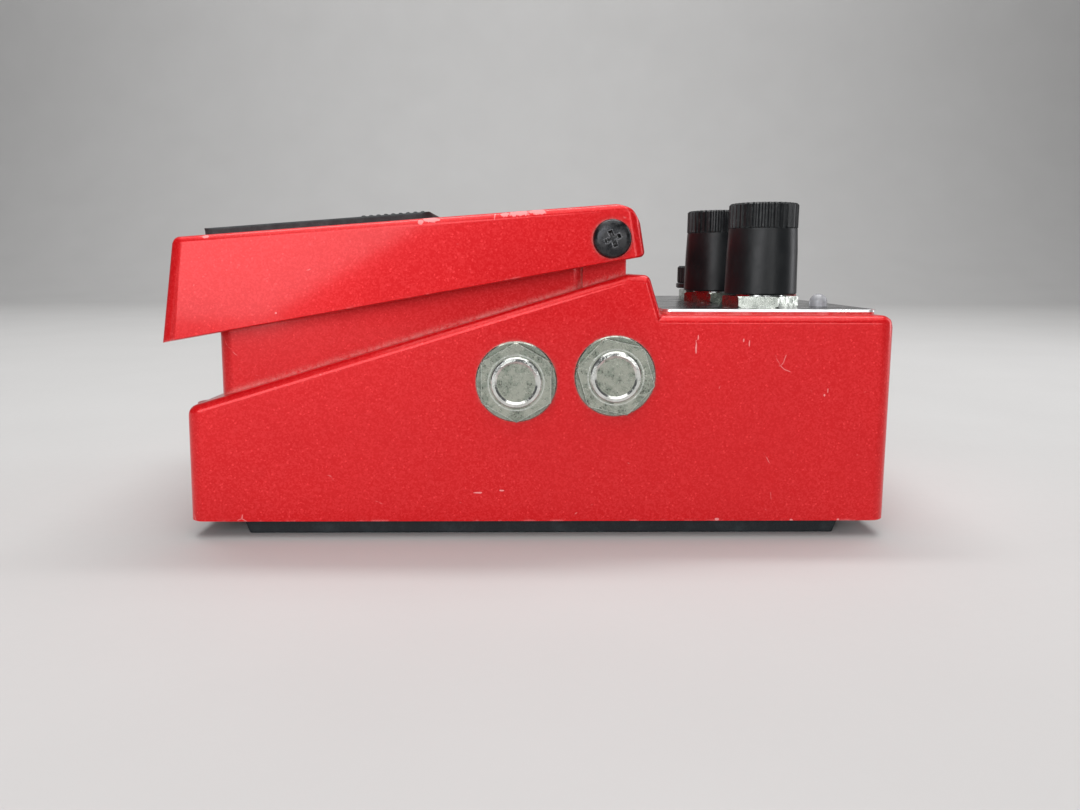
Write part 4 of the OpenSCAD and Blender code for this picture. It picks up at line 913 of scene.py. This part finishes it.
x, y = controls["dual"]
ring_knob = turned("ring_knob", [(7.1, 0), (7.4, 0.25), (7.4, 1.0), (7.15, 1.2), (6.0, 1.2)], 96)
combine(ring_knob, "UNION", knurled("ring_flutes", 7.15, 1.1, 5.2, 40, 0.3, 0.4))
combine(ring_knob, "DIFFERENCE", rod("ring_socket", (0, 0, -1), (0, 0, 1.6), 9.5), rod("ring_bore", (0, 0, -1), (0, 0, 6), 4.2, 48))
ring_knob = stand(smooth(pointer(ring_knob, 7.15, 1.5, 6), 26), (x, y, 43.5), "Z", 20)
top_knob = turned("small_knob", [(5.0, 0), (5.1, 0.15), (5.05, 1.0), (4.8, 1.05)], 96)
combine(top_knob, "UNION", knurled("small_flutes", 5.05, 0.95, 4.8, 32, 0.27, 0.35))
top_knob = stand(smooth(pointer(top_knob, 5.05, 1.4, 6), 26), (x, y, 48.9), "Z", -35)
for knob, body, node in ((ring_knob, "ring_control", "dual_ring_knob"), (top_knob, "top_control", "dual_top_knob")):
    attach(knob, body)
    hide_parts(node)

# ---- Lamps -----------------------------------------------------------------------------------
# Two small domed indicators stand up through the plate: a clear one and a red one. Each is cast
# round its lead frame in clear resin.


def lamp(name, place_at, colour, body_colour, node):
    x, y = place_at
    dome = turned(name, [(1.9, 36.9), (1.9, 37.5), (1.65, 37.5)] + [(1.65, 41.9)]
                  + [(1.65 * math.cos(math.radians(a)), 41.9 + 1.65 * math.sin(math.radians(a))) for a in (15, 30, 45, 60, 75, 86)], 48)
    low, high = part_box(node)
    stand(smooth(dome, 60), (x, y, 0))
    alone(dome)
    material, tree, shader, place = surface(name + "_resin", metallic=0.0, transmission_weight=0.55, ior=1.5, specular_ior_level=0.5)
    haze = noise(tree, place, 0.5, 3)
    feed(tree, shader, Base_Color=blendc(tree, haze, (*colour, 1), (*body_colour, 1)), Roughness=ramp(tree, haze, 0.3, 0.7, 0.10, 0.25),
         Normal=bump(tree, haze, 0.01, 0.3))
    dress(dome, material, "case", [node])


lamp("clear_lamp_dome", (54.7, -20), (0.80, 0.80, 0.82), (0.60, 0.60, 0.64), "clear_lamp")
lamp("red_lamp_dome", (55.4, 0), (0.55, 0.02, 0.015), (0.32, 0.01, 0.01), "red_lamp")

# ---- Jacks -----------------------------------------------------------------------------------
# Four quarter-inch sockets, two on each side. Each has a black moulded case inside, a plated brass
# sleeve through the wall, a plain washer and a chamfered hexagon nut, all dull from handling.

sleeve_metal = metal("sleeve_plate", (0.78, 0.79, 0.76), (0.60, 0.62, 0.58), (0.08, 0.08, 0.07), 0.22, 0.35, rubbed_and_highlight=(0.9, 0.9, 0.88))
washer_metal = metal("washer_plate", (0.36, 0.39, 0.33), (0.21, 0.24, 0.20), (0.05, 0.05, 0.045), 0.32, 0.5, rubbed_and_highlight=(0.80, 0.82, 0.76))
jack_black, tree, shader, place = surface("jack_moulding", specular_ior_level=0.5)
feed(tree, shader, Base_Color=blendc(tree, noise(tree, place, 0.3), (0.008, 0.009, 0.010, 1), (0.022, 0.023, 0.025, 1)),
     Roughness=ramp(tree, noise(tree, place, 1.5), 0.3, 0.7, 0.3, 0.45), Normal=bump(tree, noise(tree, place, 0.3), 0.02, 0.4))

sleeve_rings = [(4.6, 0), (4.6, 4.1), (4.25, 4.45), (3.75, 4.5), (3.3, 4.15), (3.25, 3.6), (3.25, 1.2), (3.9, 1.0), (3.9, 0)]
sleeve = smooth(turned("jack_sleeve", sleeve_rings, 96, tube=True), 30)
washer = smooth(turned("jack_washer", [(4.75, 0), (6.95, 0), (7.1, 0.12), (7.1, 0.42), (6.9, 0.6), (4.75, 0.6)], 96, tube=True), 30)
jack_nut = hex_nut("jack_nut", 12.2, 1.1, 9.3, 0.22)
housing = block("jack_housing", (-5.5, -6, -20), (5.5, 6, -0.02))
round_off(housing, [(0.5, lambda p, way: True)], sides=2)
combine(housing, "DIFFERENCE", rod("plug_bore", (0, 0, -16.5), (0, 0, 1), 6.6), rod("sleeve_seat", (0, 0, -1.6), (0, 0, 1), 7.9))
combine(housing, "UNION", rod("sleeve_seat_tube", (0, 0, -3), (0, 0, 1.9), 7.7))
combine(housing, "DIFFERENCE", rod("plug_bore", (0, 0, -16.5), (0, 0, 3), 6.6))
tip_spring = block("tip_spring", (2.2, -1.0, -15.5), (3.6, 1.0, -10.5))
combine(housing, "UNION", tip_spring)
smooth(housing)
for side, word in ((-1, "input"), (1, "output")):
    for end, x, z, spin in (("front", -2.8, 28.6, 0), ("rear", 14.5, 29.6, 17)):
        towards = "-Y" if side < 0 else "Y"
        for original, where, node, metal_of, slot in (
                (sleeve, 32.0, f"{word}_jack_{end}", sleeve_metal, "nickel"), (housing, 32.0, f"{word}_jack_{end}", jack_black, "jack_moulding"),
                (washer, 34.5, "jack_washers", washer_metal, "nickel"), (jack_nut, 35.1, "jack_nuts", nickel, "nickel")):
            piece = stand(twin(original, f"{word}_{end}_{original.name}"), (x, side * where, z), towards, spin + (0 if side < 0 else 23))
            dress(piece, metal_of, "case", [node])
for original in (sleeve, washer, jack_nut, housing):
    bpy.data.objects.remove(original)

# ---- Power socket ----------------------------------------------------------------------------
# A moulded barrel socket behind a hole in the rear wall, with a plated centre pin.

barrel = turned("power_barrel", [(4.2, -2.6), (4.2, 1.6), (3.9, 1.9), (3.0, 1.9), (2.8, 1.7), (2.8, -8.5), (4.2, -8.5)], 64, tube=True)
stand(smooth(barrel), (62.0, 0, 22), "X")
rear_block = block("power_case", (47.5, -5, 16.5), (61.5, 5, 27.5))
round_off(rear_block, [(0.4, lambda p, way: True)], sides=2)
combine(rear_block, "DIFFERENCE", rod("power_bore", (53.5, 0, 22), (63, 0, 22), 8.42, 48))
combine(barrel, "UNION", smooth(rear_block))
dress(barrel, jack_black, "case", ["power_jack"])
pin = smooth(turned("power_pin", [(1.05, 0), (1.05, 8.2), (0.8, 8.7), (0.35, 9.0)], 32))
dress(stand(pin, (53.5, 0, 22), "X"), sleeve_metal, "case", ["power_jack_pin"])

# ---- Battery bay -----------------------------------------------------------------------------
# A nine-volt battery stands in the bay on a strip of foam. Its can is wrapped in a plain sleeve,
# and a moulded snap with two leads clips to the terminals.

low, high = (Vector(v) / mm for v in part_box("battery"))
can = block("battery_can", low, high)
round_off(can, [(2.6, lambda p, way: across(way)), (0.7, lambda p, way: not across(way))], sides=5)
wrap, tree, shader, place = surface("battery_sleeve", specular_ior_level=0.5, coat_weight=0.3, coat_roughness=0.25)
along = add(tree, "SeparateXYZ", {0: place}).outputs[1]
shoulder = ramp(tree, along, 12.0 * mm, 12.2 * mm)
rim = ramp(tree, sums(tree, "ABSOLUTE", along), 19.6 * mm, 19.8 * mm)
printed = blendc(tree, shoulder, (0.03, 0.035, 0.045, 1), (0.50, 0.30, 0.07, 1))
wear = use(tree, worn_edge, {"Place": place, "Reach": 0.7, "Patch": 3.0, "Amount": 0.8})["Mask"]
feed(tree, shader, Base_Color=blendc(tree, sums(tree, "MAXIMUM", rim, wear), printed, (0.62, 0.62, 0.60, 1)), Metallic=sums(tree, "MAXIMUM", shoulder, rim),
     Roughness=ramp(tree, noise(tree, place, 3, 4), 0.3, 0.7, 0.25, 0.42), Normal=bump(tree, noise(tree, place, 2), 0.04, 0.4))
dress(smooth(can), wrap, "case", ["battery"])
dress_node("battery_terminals", zinc)
dress_node("battery_snap", black_plastic("snap_plastic", (0.015, 0.015, 0.016), (0.035, 0.034, 0.033)))
leads, tree, shader, place = surface("lead_sleeving", specular_ior_level=0.5)
which = ramp(tree, add(tree, "SeparateXYZ", {0: place}).outputs[0], -21.95 * mm, -21.75 * mm)
feed(tree, shader, Base_Color=blendc(tree, which, (0.012, 0.012, 0.013, 1), (0.42, 0.02, 0.015, 1)), Roughness=ramp(tree, noise(tree, place, 1), 0.3, 0.7, 0.32, 0.5),
     Normal=bump(tree, noise(tree, place, 0.5), 0.03, 0.4))
dress_node("battery_leads", leads)
foam, tree, shader, place = surface("open_foam", specular_ior_level=0.2)
bubbles = add(tree, "TexVoronoi", {"Vector": place, "Scale": 1800.0}).outputs["Distance"]
feed(tree, shader, Base_Color=blendc(tree, ramp(tree, bubbles, 0.1, 0.6), (0.02, 0.02, 0.021, 1), (0.075, 0.073, 0.07, 1)),
     Roughness=ramp(tree, bubbles, 0, 1, 0.8, 0.95), Normal=bump(tree, bubbles, 0.35, 0.8))
dress_node("battery_foam", foam)

# ---- Return spring ---------------------------------------------------------------------------
# A coil of music wire stands in the well and pushes up against the treadle, round its peg.

spring_steel = metal("music_wire", (0.50, 0.50, 0.50), (0.30, 0.30, 0.30), (0.07, 0.05, 0.04), 0.25, 0.45)
low, high = (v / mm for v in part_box("coil_spring"))
wire, turns = 1.3, 7
coil_r = (high.x - low.x - wire) / 2
bpy.ops.object.select_all(action="DESELECT")
bpy.ops.mesh.primitive_circle_add(vertices=12, radius=wire / 2 * mm, location=(coil_r * mm, 0, 0), rotation=(math.pi / 2, 0, 0))
coil = named("return_coil")
open_up(coil, everything=True)
bpy.ops.mesh.spin(steps=turns * 28, angle=turns * 2 * math.pi, center=(0, 0, 0), axis=(0, 0, 1))
bpy.ops.mesh.select_all(action="SELECT")
close()
climb = (high.z - low.z - wire) / (turns * 28)
open_up(coil)
mesh = bmesh.from_edit_mesh(coil.data)
mesh.verts.ensure_lookup_table()
ring_of = {}
for i, vert in enumerate(mesh.verts):
    ring_of.setdefault(i // 12, []).append(vert)
for i, ring in ring_of.items():
    for vert in ring:
        vert.co.z += (low.z + wire / 2 + climb * i) * mm
bmesh.update_edit_mesh(coil.data)
pick(coil, "edges", lambda p, w: False)
bpy.ops.mesh.select_non_manifold()
bpy.ops.mesh.edge_face_add()
bpy.ops.mesh.select_all(action="SELECT")
bpy.ops.mesh.normals_make_consistent(inside=False)
close()
stand(smooth(coil, 50), (-41.2, 0, 0))
dress(coil, spring_steel, "press_link", ["coil_spring"])
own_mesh(coil)

# ---- Foot switch -----------------------------------------------------------------------------
# A push switch hangs from the roof of the raised box on two screws. Only its domed plunger and a
# rubber seal show, beside the spring.

for node in ("foot_switch", "guide_bush"):
    dress_node(node, jack_black if node == "foot_switch" else nylon)
dress_node("foot_switch_screws", zinc)
seal = smooth(turned("plunger_seal", [(2.55, 0), (4.4, 0), (4.4, 0.3), (4.1, 0.5), (3.0, 0.5), (2.55, 0.3)], 64, tube=True))
seal_low, seal_high = (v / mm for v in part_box("switch_seal"))
alone(seal)
seal.matrix_world = Matrix.Translation(((seal_low + seal_high) / 2 * mm)) @ Matrix.Rotation(-tilt, 4, "Y") @ Matrix.Translation((0, 0, -0.25 * mm))
bpy.ops.object.transform_apply(location=True, rotation=True, scale=True)
dress(seal, black_rubber, "case", ["switch_seal"])
plunger = turned("switch_button", [(2.3, 32), (2.4, 32.2), (2.4, 48.3), (2.2, 48.75), (1.7, 49.1), (0.9, 49.35), (0.3, 49.4)], 48)
dress(stand(smooth(plunger, 50), (-41.9, 18.3, 0)), nylon, "switch_plunger", ["switch_plunger"])

# ---- Floor, light and camera -----------------------------------------------------------------
# A plain pale sweep with a large soft panel at the left behind the camera, a soft box overhead
# and a weak fill.

bpy.ops.object.select_all(action="DESELECT")
bpy.ops.mesh.primitive_plane_add(size=1, location=(0, 0, 0), scale=(1, 1, 1))
sweep = named("floor_sweep")
open_up(sweep, everything=True)
bpy.ops.transform.resize(value=(4, 2, 1), center_override=(0, 0, 0))
bpy.ops.transform.translate(value=(0, -0.1, 0))
pick(sweep, "edges", lambda p, w: p.y > 800)
for k in range(12):
    a = math.radians(90 / 12 * (k + 0.5))
    bpy.ops.mesh.extrude_region_move(TRANSFORM_OT_translate={"value": (0, 0.06 * math.cos(a), 0.06 * math.sin(a))})
bpy.ops.mesh.extrude_region_move(TRANSFORM_OT_translate={"value": (0, 0, 1.5)})
close()
smooth(sweep, 60)
paper, tree, shader, place = surface("pale_paper", specular_ior_level=0.2)
feed(tree, shader, Base_Color=blendc(tree, noise(tree, place, 60, 3), (0.50, 0.495, 0.49, 1), (0.54, 0.535, 0.53, 1)), Roughness=ramp(tree, noise(tree, place, 2, 4), 0.3, 0.7, 0.75, 0.85))
sweep.data.materials.append(paper)


def soft_box(name, at, aim, wide, tall, watts, tint=(1, 1, 1), roll=0):
    lamp_data = bpy.data.lights.new(name, "AREA")
    lamp_data.shape, lamp_data.size, lamp_data.size_y = "RECTANGLE", wide * mm, tall * mm
    lamp_data.energy, lamp_data.color = watts, tint
    thing = bpy.data.objects.new(name, lamp_data)
    bpy.context.collection.objects.link(thing)
    turn = (Vector(aim) - Vector(at)).to_track_quat("-Z", "Y").to_matrix().to_4x4()
    thing.matrix_world = Matrix.Translation(Vector(at) * mm) @ turn @ Matrix.Rotation(math.radians(roll), 4, "Z")


soft_box("window_panel", (-258, -600, 218), (-258, 0, 218), 500, 400, 2.6, (0.97, 0.98, 1.0), roll=32.3)
soft_box("overhead_box", (0, -120, 620), (0, -20, 0), 680, 900, 3.9, (1.0, 0.99, 0.98))
soft_box("right_strip", (560, 90, 190), (60, -10, 20), 160, 420, 0.8, (0.97, 0.97, 1.0))
soft_box("front_fill", (260, -700, 120), (20, 0, 20), 260, 160, 0.5)
soft_box("backdrop_wash", (0, 300, 1100), (0, 1250, 250), 1200, 300, 13.0)
world = bpy.data.worlds.new("studio")
bpy.context.scene.world = world
world.use_nodes = True
sky = world.node_tree.nodes["Background"]
sky.inputs["Color"].default_value = (0.9, 0.92, 0.95, 1)
seen = add(world.node_tree, "LightPath").outputs["Is Camera Ray"]
world.node_tree.links.new(sums(world.node_tree, "ADD", 0.12, sums(world.node_tree, "MULTIPLY", seen, 0.5)), sky.inputs["Strength"])

camera_data = bpy.data.cameras.new("camera")
camera_data.lens, camera_data.sensor_width = 27.03, 36
camera_data.clip_start, camera_data.clip_end = 0.005, 10
camera = bpy.data.objects.new("camera", camera_data)
bpy.context.collection.objects.link(camera)
camera.matrix_world = (Matrix.Translation((-0.72 * mm, -175.3 * mm, 48.6 * mm)) @ Matrix.Rotation(math.radians(-0.85), 4, "Z")
                       @ Matrix.Rotation(math.radians(80.27), 4, "X") @ Matrix.Rotation(math.radians(0.15), 4, "Z"))
bpy.context.scene.camera = camera
bpy.context.scene.view_settings.view_transform = "Standard"
